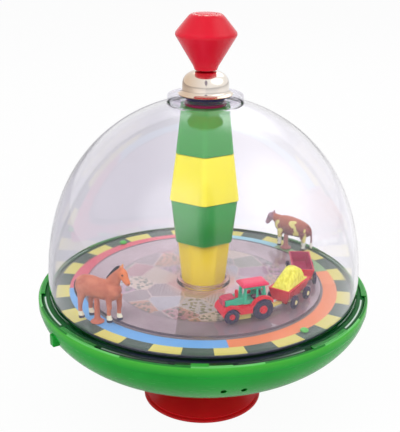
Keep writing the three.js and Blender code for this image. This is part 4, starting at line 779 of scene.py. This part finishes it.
# Dome: the clear shell, moulded in one with the flange that the tabs hold, the collar at its top and the
# inner ledge that carries the bush and the cap. It has a slight lilac tint and a few faint smears.
def set_in(line, wall):
    """A line moved to its own left by a wall, square to itself."""
    along = np.gradient(line, axis=0)
    along /= np.linalg.norm(along, axis=1, keepdims=True)
    return line + wall * np.stack([-along[:, 1], along[:, 0]], -1)


shell_radius, shell_foot, shell_rise, collar_radius = 88.4, 70.5, 111.5, 20.6
radius_power, height_power = 1.058, 2 / 2.53


def dome_side(wall, steps=72):
    """The shell's curve from the flange to the collar, set in by the wall: radius = shell_radius
    cos(t)^radius_power and height = shell_foot + shell_rise sin(t)^height_power."""
    t = np.linspace(0.02, math.acos((collar_radius / shell_radius) ** (1 / radius_power)), steps)
    radius = shell_radius * np.cos(t) ** radius_power
    height = shell_foot + shell_rise * np.sin(t) ** height_power
    return set_in(np.stack([radius, height], -1), wall)


flange = eased([(86.6, 70.6), (86.6, 68.9), (92.2, 68.9), (92.2, 70.4), (88.4, 71.0), (88.4, 72.6)],
               [0.1, 0.3, 0.4, 0.4, 0.5, 0.2])
collar = eased(
    [(collar_radius, 181.2), (collar_radius, 183.6), (18.6, 183.6), (18.6, 181.6), (10.4, 181.6),
     (10.4, 179.8), (17.6, 179.8), (19.0, 179.4)],
    [0.3, 0.55, 0.55, 0.5, 0.3, 0.3, 0.4, 0.2],
)
dome_wall = 1.8
outer_shell, inner_shell = dome_side(0), dome_side(dome_wall)
outer_shell = outer_shell[(outer_shell[:, 1] > 73) & (outer_shell[:, 1] < 181)]
inner_shell = inner_shell[(inner_shell[:, 1] > 71) & (inner_shell[:, 1] < 179.2)][::-1]
dome_line = np.concatenate([flange[:-6], outer_shell, collar, inner_shell])


def clear_plastic(name, tint, haze=0.03, smear=0.05, shaded=None, plain=None):
    """Clear polystyrene that bends light as the solid does, with a rippled skin and hazy smears. Where it
    shows what lies in or under it, shaded gives a share and a colour of painted shade and glints laid over
    the glass; where it is thick, plain gives a share that lets light straight on. Shadow rays pass it
    straight, so that it throws only a thin shadow."""
    finish = Finish(name)
    smears = finish.noise(34, 4).ramp(0.5, 0.75)
    fine = finish.streaks(3, 120, 120, 30).ramp(0.6, 0.8)
    glass = finish.principled(
        tint, smears * smear + fine * smear * 0.5 + haze, (finish.noise(22, 2), 0.05, 0.002),
        IOR=1.49, Transmission_Weight=1.0,
    )
    through = finish.node("BsdfTransparent", None, {"Color": scaled(tint, 0.98)})
    if shaded:
        share, colour = shaded(finish)
        glass = finish.blend(share, glass, finish.principled(colour, 0.35, Specular_IOR_Level=0.06))
    if plain:
        glass = finish.blend(plain(finish), glass, through)
    return finish.end(finish.blend(finish.ray("Shadow"), glass, through))


def recess_shade(finish):
    """Painted shade low on the dome: navy beside the disc's edge and dark green over the recess, greener at
    the sides as painted light, with a painted glint along the flange in the gaps between the tabs."""
    radius, sides = finish.radius(), sideness(finish.axis("X"))
    glint = radius.ramp(0.0900, 0.0904) * radius.ramp(0.0912, 0.0908) * tab_gaps(finish.turn(), 0.44, 0.96)
    colour = finish.layered(
        finish.mix(radius.ramp(0.0885, 0.0895), (30, 34, 54), (12, 36, 24)),
        (sides, (4, 86, 30)),
        (glint * (sides * 0.8 + 0.04), (222, 240, 228)),
    )
    return finish.axis("Z").ramp(0.0716, 0.071) * 0.9, colour


def thick_collar(finish):
    return finish.axis("Z").ramp(0.1788, 0.1796) * 0.85


lilac_clear = clear_plastic("dome clear", (0.955, 0.945, 0.975, 1), shaded=recess_shade, plain=thick_collar)
add_piece("clear_dome", [turned(dome_line, 256)], lilac_clear, "dome", 40)


# Cap: a thin bright bell, spun from sheet metal and plated, with a flared brim that stands on the ledge.
# Its crown is a squared quarter circle: radius = cap_radius cos(t)^power, height = foot + rise sin(t)^power.
cap_radius, cap_hole, cap_sheet, crown_rise, crown_power = 12.6, 3.2, 0.8, 8.9, 1 / 1.4
flare_foot, flare_height, flare_reach = 184.5, 3.2, 2.2
flare = np.linspace(0, 1, 12)
crown = np.linspace(0, math.acos((cap_hole / cap_radius) ** 1.4), 40)
bell = np.concatenate([
    np.stack([cap_radius + flare_reach * (1 - flare) ** 5, flare_foot + flare_height * flare], -1),
    np.stack([cap_radius * np.cos(crown) ** crown_power,
              flare_foot + flare_height + crown_rise * np.sin(crown) ** crown_power], -1)[1:],
])
brim = [(14.0, 183.9), (14.7, 184.0), (14.85, 184.25)]
cap_line = np.concatenate([brim, bell[1:], set_in(bell, cap_sheet)[::-1]])


def plated(name, colour):
    """Bright plated sheet: a mirror with fine spinning rings, a warm, tarnished tone toward the brim, a warm
    reflection painted on its left side, and wipe marks.
    """
    finish = Finish(name)
    rings = finish.streaks(2, 12, 12, 2200)
    wipes = finish.noise(90, 3).ramp(0.5, 0.75)
    low = finish.axis("Z").ramp(0.187, 0.184)
    # Painted reflection: the left side of the mirror tinted warm.
    left = finish.axis("X").ramp(0.004, -0.012)
    tarnish_and_warm_reflection = (low * 0.5).maths("MAXIMUM", left * 0.85) + wipes * 0.1
    body = finish.mix(tarnish_and_warm_reflection, colour, (214, 184, 154))
    return finish.metal(body, wipes * 0.08 + (rings * 0.05 + 0.06), (rings, 0.05, 0.0001))


plating = plated("cap plating", (244, 236, 226))
add_piece("plated_cap", [turned(cap_line, 160)], plating, "cap", 50)


# Drive: the twisted steel strip with its round head and stop, the slotted driver nut, and the red knob
# with its screw and its plug. Pushing the knob turns the nut, and the nut turns the top.
def twisted_strip(width, thickness, low, high, lead, per_turn=56):
    """A bar whose section, an eased rectangle, turns with its height: angle = 2 pi height / lead."""
    x, y = width / 2, thickness / 2
    section = eased([(x, -y), (x, y), (-x, y), (-x, -y)], 0.2)
    across = np.linspace(-1, 1, 9)[1:-1, None] * (x - 0.25)
    edge = len(section) // 2
    top_side = np.concatenate([across[::-1], 0 * across + y], -1)
    under_side = np.concatenate([across, 0 * across - y], -1)
    section = np.concatenate([section[:edge], top_side, section[edge:], under_side])
    height = np.linspace(low, high, int((high - low) / lead * per_turn))[:, None]
    return spun(section[:, 0], section[:, 1], height, 2 * np.pi * height / lead)


strip = twisted_strip(width=5, thickness=1.2, low=64.5, high=204, lead=36)
strip_head = eased([(0, 203), (2.7, 203), (2.7, 208), (0, 208)], [0, 0.4, 0.4, 0])
strip_mesh = together(skin([strip], capped=True), skin([turned(strip_head, 48)]))
strip_steel = turned_steel("strip steel", (186, 190, 196), 0.26, 500)
add_piece("twisted_strip", strip_mesh, strip_steel, "spindle", 40)
refinish("spindle_stop", bearing_white)
refinish("knob_screw", pin_steel)
refinish("driver_nut", moulded("nut white", (220, 216, 204), 0.35, 0.04))


def tangent_turn(point, centre, radius, side):
    """The angle, at a circle's centre, where a line from a point touches the circle."""
    away = np.array(point) - np.array(centre)
    return math.atan2(away[1], away[0]) + side * math.acos(radius / math.hypot(*away))


knob_low = 196.9
waist, waist_round = (14.0, knob_low + 18.8), 2.4
neck = (6.7, knob_low + 1.9)
shoulder = (9.5, knob_low + 28.1)
low_turn = tangent_turn(neck, waist, waist_round, 1)
turn = np.linspace(low_turn, tangent_turn(shoulder, waist, waist_round, -1), 24)
waist_line = np.stack([waist[0] + waist_round * np.cos(turn), waist[1] + waist_round * np.sin(turn)], -1)
lower = [(3, 203), (3, knob_low), (6.1, knob_low), neck, waist_line[0], (3, 210)]
lower = eased(lower, [0.1, 0.3, 0.5, 1.4, 0, 0])
upper = eased(
    [waist_line[-1], shoulder, (8.0, 226.2), (5.6, 226.2), (5.6, 212.7), (1.5, 212.7), (1.5, 208.3),
     (3, 208.3), (3, 215)],
    [0, 1.2, 0.8, 0.4, 0.2, 0.2, 0.1, 0.1, 0],
)
knob_line = np.concatenate([lower[:-12], waist_line, upper[6:-6]])


def knob_finish():
    """The knob's glossy red, with a faint parting line below the waist, small pits low on its side and a
    ring of pale specks round the plug, a painted reflection, where the gloss is also duller."""
    finish = Finish("knob red")
    up, radius = finish.axis("Z") * 1000, finish.radius() * 1000
    fleck = finish.noise(700, 3)
    # Painted reflection: pale specks on the top face round the plug, where the gloss is also duller.
    pale_glint_specks = fleck.ramp(0.48, 0.6) * up.ramp(225.3, 226.0) * radius.ramp(4.6, 5.6) * radius.ramp(9.2, 7.6)
    body = finish.mix(pale_glint_specks * 0.75, finish.drift(30, 2, (218, 6, 38), (230, 14, 48)), (244, 208, 196))
    parting = up.between(213.0, 213.3) * -0.6
    pits = finish.noise(900, 1).ramp(0.66, 0.72) * 0.5
    dents = (parting - pits + finish.noise(300, 2) * 0.3, 0.2, 0.0003)
    return finish.plastic(body, fleck * 0.08 + (pale_glint_specks * 0.3 + 0.2), dents, 0.25, coat=(0.1, 0.08))


knob_red = knob_finish()
add_piece("turned_knob", [turned(knob_line, 160)], knob_red, "knob", 30)
plug_line = eased([(0, 223.2), (5.25, 223.2), (5.25, 226.2), (4.3, 226.5), (2.4, 226.6), (0, 226.6)],
                  [0, 0.3, 0.4, 0.4, 0.6, 0])
plug = turned(plug_line, 192)
flutes, flute_depth = 24, 0.018
flute = 1 - flute_depth * (np.cos(flutes * whole_turn(192)[:, None, None]) > 0.2)
plug[..., :2] *= np.where(np.hypot(plug[..., :1], plug[..., 1:2]) > 4.2, flute, 1)
add_piece("fluted_plug", [plug], knob_red, "knob_plug", 30)


# Figures: a horse and a cow, each moulded in one and painted, on a post that snaps through the disc.
# Their parts are oval limbs, melted together as in a mould.
def limb(rows, size, across=0.0, sides=28, steps=36):
    """Oval sections square to a smooth line. Rows of (along, up, half depth, half width), in thousandths of
    the size, are joined by a cubic through them (Catmull-Rom); points are line + depth cos(a) side + width
    sin(a) across."""
    rows = np.asarray(rows, float) / 1000
    padded = np.concatenate([2 * rows[:1] - rows[1:2], rows, 2 * rows[-1:] - rows[-2:-1]])
    where = np.linspace(0, len(rows) - 1, steps)
    first = np.minimum(where.astype(int), len(rows) - 2)
    t = (where - first)[:, None]
    a, b, c, d = (padded[first + k] for k in range(4))
    smooth = 0.5 * (2 * b + (c - a) * t + (2 * a - 5 * b + 4 * c - d) * t**2 + (3 * b - a - 3 * c + d) * t**3)
    smooth[:, 2:] = np.maximum(smooth[:, 2:], 0.2 * rows[:, 2:].min(0))
    along = np.gradient(smooth[:, :2], axis=0)
    along /= np.linalg.norm(along, axis=1, keepdims=True)
    angle = whole_turn(sides)[None]
    out = smooth[:, 2:3] * np.cos(angle)
    x = smooth[:, :1] - along[:, 1:2] * out
    z = smooth[:, 1:2] + along[:, :1] * out
    y = across + smooth[:, 3:4] * np.sin(angle)
    return size * np.stack([x, y, z], -1)


def stood(grids, place, heading):
    """Grids in a figure's or vehicle's own measure, turned to its heading and set at its place."""
    cos, sin = math.cos(math.radians(heading)), math.sin(math.radians(heading))
    matrix = np.array([[cos, sin, 0], [-sin, cos, 0], [0, 0, 1]])
    return [grid @ matrix + np.asarray(place) for grid in grids]


def figure(single, paired, size, place, heading, cell, soften):
    """Limbs on the middle line and pairs of limbs, with their place across and the second one's step ahead,
    melted to one skin of small cells and softened where they meet."""
    grids = [limb(rows, size) for rows in single]
    for rows, across, step in paired:
        ahead = np.array(rows) + (step, 0, 0, 0)
        grids += [limb(rows, size, across), limb(ahead, size, -across)]
    return modified(
        skin(stood(grids, place, heading), capped=True),
        ("REMESH", {"mode": "VOXEL", "voxel_size": cell * millimetre}),
        ("SMOOTH", {"factor": 0.5, "iterations": soften}),
    )


class Paint(Finish):
    """A painted figure's material, whose places are (along, across, up) in shares of the figure's height."""

    def __init__(self, name, place, heading, size):
        super().__init__(name)
        sockets = {
            "Vector": self.place,
            "Location": tuple(float(part) * millimetre for part in place),
            "Rotation": (0.0, 0.0, math.radians(heading)),
            "Scale": (size * millimetre,) * 3,
        }
        self.own = self.node("Mapping", {"vector_type": "TEXTURE"}, sockets)
        self.along, self.across, self.up = (self.axis(way, self.own) for way in "XYZ")
        self.brush = self.noise(9, 3, self.own) - 0.5

    def near(self, start, end):
        """Distance of a place from the line between two points."""
        start, end = np.array(start, float), np.array(end, float)
        away = self.vector("SUBTRACT", self.own, tuple(start))
        span = end - start
        share = self.vector("DOT_PRODUCT", away, tuple(span / (span @ span)), "Value")
        share = share.maths("MAXIMUM", 0.0).maths("MINIMUM", 1.0)
        foot = self.node("VectorMath", {"operation": "SCALE"}, {0: tuple(span), "Scale": share})
        return self.vector("DISTANCE", away, foot, "Value")

    def daub(self, body, distance, reach, colour, soft=0.006):
        """A colour painted within a reach of something, with a slightly wandering edge."""
        mask = (distance + self.brush * reach * 0.35).ramp(reach + soft, reach - soft)
        return self.mix(mask, body, colour)

    def below(self, height, wander, soft):
        """1 under a height, with a wandering edge."""
        return (self.up + self.brush * wander).ramp(height + soft, height - soft)

    def painted(self, body):
        """Ends the material as brushed paint."""
        strokes = (self.noise(22, 3, self.own), 0.25, 0.0003)
        return self.plastic(body, self.noise(30, 2, self.own) * 0.16 + 0.34, strokes, 0.22, 1.48)


horse_size, horse_heading = 32.5, 341
horse_foot = polar(74.4, 222.2)
horse_place = [*horse_foot[:2], 74.9]
trunk = [
    (-345, 565, 30, 30), (-332, 565, 80, 70), (-305, 563, 135, 105), (-230, 555, 175, 130),
    (-90, 550, 185, 135), (50, 532, 172, 132), (185, 525, 178, 130), (305, 520, 165, 115),
    (385, 508, 120, 85), (415, 500, 55, 45),
]
neck = [(235, 550, 150, 85), (300, 690, 115, 70), (365, 810, 85, 58), (425, 915, 50, 42)]
head = [(415, 945, 30, 30), (450, 865, 83, 58), (500, 770, 62, 50), (545, 695, 45, 44), (557, 662, 24, 26)]
tail = [(-310, 660, 22, 22), (-345, 560, 38, 32), (-345, 420, 42, 34), (-325, 310, 16, 16)]
mane = [(185, 735, 12, 14), (245, 800, 24, 17), (325, 895, 26, 18), (385, 955, 20, 16), (430, 975, 10, 10)]
ear = [(430, 920, 26, 20), (450, 985, 17, 12), (457, 1000, 6, 6)]
fore_leg = [
    (245, 450, 62, 50), (245, 330, 46, 40), (250, 260, 44, 38), (240, 200, 34, 31), (240, 130, 34, 32),
    (243, 70, 44, 39), (250, 45, 48, 42), (252, 0, 52, 46),
]
hind_leg = [
    (-215, 470, 90, 56), (-235, 360, 60, 46), (-250, 280, 44, 37), (-258, 200, 36, 33), (-260, 140, 34, 32),
    (-250, 70, 42, 38), (-242, 45, 47, 42), (-235, 0, 52, 46),
]
horse_mesh = figure(
    [trunk, neck, head, tail, mane], [(ear, 0.036, 0), (fore_leg, -0.07, 110), (hind_leg, -0.07, 110)],
    horse_size, horse_place, horse_heading, cell=0.26, soften=7,
)


def horse_paint():
    """Warm brown, with a brighter face, a dark mane and tail, pale ears and socks, and navy hooves."""
    paint = Paint("horse paint", horse_place, horse_heading, horse_size)
    black = (34, 30, 44)
    body = paint.drift(7, 3, (190, 104, 78), (214, 130, 98), paint.own)
    body = paint.mix(paint.along.ramp(0.36, 0.5) * paint.up.ramp(0.6, 0.75), body, (236, 132, 80))
    daubs = [((0.18, 0, 0.755), (0.4, 0, 0.965), 0.033, black, 0.006),
             ((-0.36, 0, 0.6), (-0.345, 0, 0.3), 0.045, (64, 38, 40), 0.006)]
    for side in (-1, 1):
        daubs += [((0.478, side * 0.058, 0.845), (0.484, side * 0.058, 0.842), 0.014, black, 0.004),
                  ((0.565, side * 0.03, 0.69), (0.567, side * 0.03, 0.69), 0.011, (110, 40, 52), 0.004)]
    for start, end, reach, colour, soft in daubs:
        body = paint.daub(body, paint.near(start, end), reach, colour, soft)
    return paint.painted(paint.layered(
        body,
        (paint.up.ramp(0.955, 0.985) * paint.along.ramp(0.44, 0.46), (238, 190, 110)),
        (paint.below(0.126, 0.05, 0.006), (244, 238, 208)),
        (paint.below(0.048, 0.02, 0.004), (30, 30, 56)),
    ))


add_piece("painted_horse", horse_mesh, horse_paint(), "horse", 60)

cow_size, cow_heading = 21.6, 150
cow_foot = polar(75.5, 45.8)
cow_place = [*cow_foot[:2], 74.9]
trunk = [
    (-760, 610, 30, 30), (-742, 610, 90, 80), (-705, 590, 170, 150), (-560, 575, 235, 205),
    (-330, 600, 270, 235), (-90, 620, 290, 235), (115, 640, 270, 205), (255, 660, 210, 165),
    (345, 680, 110, 95),
]
neck = [(140, 700, 190, 145), (310, 765, 145, 110), (440, 830, 95, 85), (500, 850, 50, 50)]
head = [(415, 905, 40, 60), (490, 820, 115, 100), (565, 710, 85, 75), (620, 600, 66, 70), (635, 550, 35, 40)]
tail = [
    (-690, 745, 30, 30), (-785, 600, 28, 28), (-815, 300, 28, 28), (-820, 130, 48, 42), (-815, 45, 15, 15),
]
horn = [(440, 850, 34, 30), (430, 960, 22, 18), (445, 1000, 6, 6)]
fore_leg = [(130, 500, 100, 75), (140, 270, 66, 56), (140, 130, 50, 48), (150, 50, 60, 54), (150, 0, 68, 60)]
hind_leg = [
    (-585, 520, 140, 85), (-615, 300, 75, 58), (-630, 140, 52, 48), (-620, 50, 60, 54), (-615, 0, 70, 60),
]
cow_mesh = figure(
    [trunk, neck, head, tail], [(horn, 0.055, 0), (fore_leg, 0.135, 120), (hind_leg, 0.135, 120)],
    cow_size, cow_place, cow_heading, cell=0.2, soften=6,
)


def cow_paint():
    """Reddish brown, darker and more purple low on the body as painted shade, with ragged yellow patches, a
    greyer face, pale shanks and dark hooves.
    """
    paint = Paint("cow paint", cow_place, cow_heading, cow_size)
    black = (40, 34, 44)
    flank, cheek = 0.2, 0.095
    # Painted shade: the body darker and more purple toward the belly and legs.
    body = paint.mix(paint.up.ramp(0.45, 0.9), (140, 84, 92), (184, 100, 78))
    body = paint.mix(paint.along.ramp(0.36, 0.46) * paint.up.ramp(0.4, 0.55), body, (172, 128, 150))
    ragged = (paint.noise(5, 4, paint.own) - 0.54) * 0.3
    for along, up, end_along, end_up, reach in (
        (0.2, 0.74, 0.26, 0.6, 0.06), (0.12, 0.5, 0.16, 0.3, 0.05), (-0.2, 0.76, -0.33, 0.66, 0.06),
        (-0.36, 0.6, -0.42, 0.4, 0.06), (-0.66, 0.66, -0.72, 0.5, 0.05), (-0.7, 0.42, -0.66, 0.3, 0.05),
        (-0.05, 0.86, -0.5, 0.86, 0.03),
    ):
        for side in (-flank, flank):
            patch = paint.near((along, side, up), (end_along, side, end_up)) + ragged
            body = paint.daub(body, patch, reach, (240, 228, 144), 0.012)
    for side in (-cheek, cheek):
        body = paint.daub(body, paint.near((0.55, side, 0.79), (0.555, side, 0.79)), 0.022, black)
    return paint.painted(paint.layered(
        body, (paint.below(0.25, 0.3, 0.02), (246, 244, 240)), (paint.below(0.055, 0.03, 0.007), black),
    ))


add_piece("painted_cow", cow_mesh, cow_paint(), "cow", 60)


# Posts: pins with a flared foot on the disc and a barb below it; each holds its figure at the belly.
# A post is turned from one line, and has its figure's own colour.
for animal, place, top, colour in (
    ("horse", horse_foot, 87.9, (204, 112, 84)), ("cow", cow_foot, 83.6, (206, 138, 140)),
):
    post_line = eased(
        [(0, 69), (1.45, 69), (2.35, 69.8), (2.35, 70.7), (1.45, 70.7), (1.45, 72.9), (3.6, 72.9),
         (3.6, 73.2), (1.9, 74.3), (1.45, 76), (1.45, top), (0, top)],
        [0, 0.2, 0.3, 0.2, 0.2, 0.2, 0.3, 0.3, 1.0, 1.0, 0.3, 0],
    )
    material = moulded(f"{animal} pin", colour, 0.34)
    add_piece(f"{animal}_pin", [turned(post_line, 48) + place], material, f"{animal}_post")


# Carousel disc: a clear plate with a raised ring round the column's foot, on which the train stands.
# Its cut edge is painted as a thin dark line of shade, and the ring carries a lilac tint.
carousel_line = eased(
    [(11.7, 73), (68, 73), (68, 74.3), (15.4, 74.3), (15.4, 76.5), (13.1, 76.5), (13.1, 74.3), (11.7, 74.3)],
    [0.1, 0.25, 0.35, 0.3, 0.4, 0.4, 0.2, 0.1],
)


# Painted shade: the clear plate's cut edge darkened to a thin dark line.
def cut_edge_shade(finish):
    return finish.radius().ramp(0.0674, 0.0678) * 0.8, (92, 78, 88)


grey_clear = clear_plastic("carousel clear", (0.91, 0.87, 0.91, 1), 0.02, shaded=cut_edge_shade)
add_piece("clear_carousel", [turned(carousel_line, 224)], grey_clear, "carousel_disc", 40)


# Train: a tractor and two trailers of bright moulded plastic. The wheels are moulded with their axles' hubs,
# and the flat-sided mouldings have their edges eased.
def softened(name, node, material, edge):
    """A moulding with the shape of its CAD node, its flat faces joined and its edges rounded."""
    mesh = nodes[node].data.copy()
    mesh.materials.clear()
    form = bmesh.new()
    form.from_mesh(mesh)
    bmesh.ops.remove_doubles(form, verts=form.verts, dist=1e-6)
    bmesh.ops.dissolve_limit(form, angle_limit=math.radians(1), verts=form.verts, edges=form.edges)
    form.to_mesh(mesh)
    form.free()
    bevel = add_piece(name, mesh, material, node, 40).modifiers.new("eased edges", "BEVEL")
    bevel.width, bevel.segments, bevel.limit_method = edge * millimetre, 3, "ANGLE"
    bevel.angle_limit, bevel.harden_normals = math.radians(32), True


headings = {"tractor": 200.3, "trailer_front": 237.12, "trailer_rear": 269.62}


def slotted_hood():
    """The bonnet's panel: pink-red, with four slots pressed along it and painted dark as the shade in them.
    """
    paint = Paint("hood red", [*polar(51.4, 294.5)[:2], 74.35], headings["tractor"], 1.0)
    # Painted shade in the four pressed slots.
    slots = (paint.across * 0.62).maths("FRACT").between(0.36, 0.64)
    slots = slots * paint.across.maths("ABSOLUTE").ramp(2.6, 2.4)
    body = paint.drift(0.3, 2, (206, 60, 88), (222, 84, 108), paint.own)
    return paint.plastic(paint.mix(slots * 0.75, body, (84, 26, 58)), 0.32)


def shaded_tub():
    """The second tub: red, with plum shade on its inner faces."""
    paint = Paint("second tub red", [*polar(56.9, 3.82)[:2], 78.95], headings["trailer_rear"], 1.0)
    flare = paint.up * 0.28
    across = (flare + 3.95 - paint.across.maths("ABSOLUTE")).ramp(-0.1, 0.1)
    along = (flare * 0.63 + 11.8 - paint.along.maths("ABSOLUTE")).ramp(-0.1, 0.1)
    body = paint.drift(0.3, 2, (216, 20, 50), (228, 30, 60), paint.own)
    return paint.plastic(paint.mix(across * along * paint.up.ramp(1.2, 1.35) * 0.8, body, (150, 34, 88)), 0.3)


def hay():
    """Hay as moulded: bright yellow with fine strands pressed into the mould, with painted shade between the
    strands and in the hollows between clumps.
    """
    finish = Finish("hay yellow")
    strands = finish.streaks(4, 900, 420, 300)
    clumps = finish.noise(180, 3)
    # Painted shade: darker where the strands' relief is low.
    body = finish.mix(strands.ramp(0.3, 0.7), (222, 212, 58), (250, 246, 106))
    # Painted shade: darker in the hollows between clumps.
    body = finish.mix(clumps.ramp(0.3, 0.45) * -0.35 + 0.35, body, (206, 196, 60))
    return finish.plastic(body, strands * 0.2 + 0.38, (strands + clumps * 0.6, 0.5, 0.0006), ior=1.48)


train_red = moulded("train red", (222, 22, 52), 0.28)
plinth_yellow = moulded("plinth yellow", (240, 222, 120), 0.35)
for name, node, material, slot, edge in (
    ("tractor_frame", "tractor_chassis", train_red, "red", 0.3),
    ("tractor_cab", "tractor_body", moulded("tractor green", (62, 186, 146), 0.3), "sea_green", 0.18),
    ("cab_roof", "tractor_roof", moulded("roof red", (226, 56, 94), 0.3), "red", 0.35),
    ("bonnet_panel", "tractor_hood", slotted_hood(), "red", 0.2),
    ("stack_pipe", "tractor_exhaust", train_red, "red", 0.15),
    ("cab_seat", "tractor_seat", moulded("seat plum", (116, 44, 84), 0.35), "red", 0.25),
    ("tractor_base", "tractor_plinth", plinth_yellow, "pale_yellow", 0.3),
    ("hitch_bar", "tractor_hitch", plinth_yellow, "pale_yellow", 0.25),
    ("first_tub", "trailer_front_tub", train_red, "red", 0.3),
    ("second_tub", "trailer_rear_tub", shaded_tub(), "red", 0.3),
    ("link_bar", "trailer_link", train_red, "red", 0.25),
    ("hay_heap", "hay_load", hay(), "yellow", 0.5),
):
    softened(name, node, material, edge)


def wheelwise(grid, node, heading):
    """A grid turned about the vertical axis, laid on its side in the middle of its node."""
    low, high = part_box(node)
    middle = [(a + b) * 500 for a, b in zip(low, high)]
    return stood([np.stack([grid[..., 0], grid[..., 2], grid[..., 1]], -1)], middle, heading)


def tyre_grid(radius, width, lugs, steps=120):
    """A ring whose outer radius rises by the lug's height where a wave of the turn, set back by the place
    across, is high."""
    half, lug_height = width / 2, 0.25
    bore, tread = radius * 0.42, radius - lug_height
    line = eased([(bore, -half), (tread, -half), (tread, half), (bore, half)], [0.15, 0.5, 0.5, 0.15], 5)
    fill = np.linspace(-half + 0.5, half - 0.5, 9)[:, None]
    line = np.concatenate([line[:10], np.concatenate([0 * fill + tread, fill], -1), line[10:]])
    grid = turned(line, steps)
    reach, across = line.T
    wave = np.sin(lugs * (whole_turn(steps)[:, None] + 0.35 * abs(across) / radius * 2))
    rise = lug_height * np.clip(wave * 3, 0, 1) * (reach > radius - 0.3)
    grid[..., :2] *= (1 + rise / radius)[..., None]
    grid[..., 2] *= 1 - 0.03 * np.exp(-(((reach - radius * 0.72) / 0.12) ** 2))
    return grid


def hub_grid(radius, outer, inner):
    """Two dished hubs on an axle: the line runs out along a hub and in over its dish, and is mirrored."""
    line = [
        (0.7, -inner), (radius, -inner), (radius, -outer), (radius - 0.35, -outer - 0.1),
        (radius - 0.5, -outer + 0.3), (radius * 0.4, -outer + 0.35), (radius * 0.34, -outer - 0.05),
        (0, -outer - 0.1),
    ]
    both = line[::-1] + [(r, -z) for r, z in line]
    return turned(eased(both, 0.12, 4), 48)


def tyre_finish():
    """Soft dark plastic with a fine grain."""
    finish = Finish("tyre navy")
    grain = finish.noise(900, 3)
    body = finish.mix(grain, (38, 26, 62), (50, 38, 78))
    return finish.plastic(body, grain * 0.2 + 0.4, (grain, 0.3, 0.0003))


tyre_navy = tyre_finish()
hub_cream = moulded("hub cream", (236, 226, 168), 0.35)
for vehicle, axle, radius, width, track, lugs, hub, slot in (
    ("tractor", "front", 4.2, 2.2, 5.2, 14, train_red, "red_plastic"),
    ("tractor", "rear", 5.8, 2.2, 5.2, 16, train_red, "red_plastic"),
    *[
        (f"trailer_{place}", axle, 3.6, 2.0, 7.1, 14, hub_cream, "pale_yellow_plastic")
        for place in ("front", "rear") for axle in ("front", "rear")
    ],
):
    heading = headings[vehicle]
    for side in ("left", "right"):
        node = f"{vehicle}_{axle}_tyre_{side}"
        tyre = wheelwise(tyre_grid(radius, width, lugs), node, heading)
        add_piece(f"{vehicle}_{axle}_{side}_wheel", tyre, tyre_navy, node, 50)
    node = f"{vehicle}_{axle}_axle"
    hubs = hub_grid(radius * 0.42 - 0.3, outer=track + width / 2 + 0.2, inner=track - width / 2)
    add_piece(f"{vehicle}_{axle}_hubs", wheelwise(hubs, node, heading), hub, node, 40)
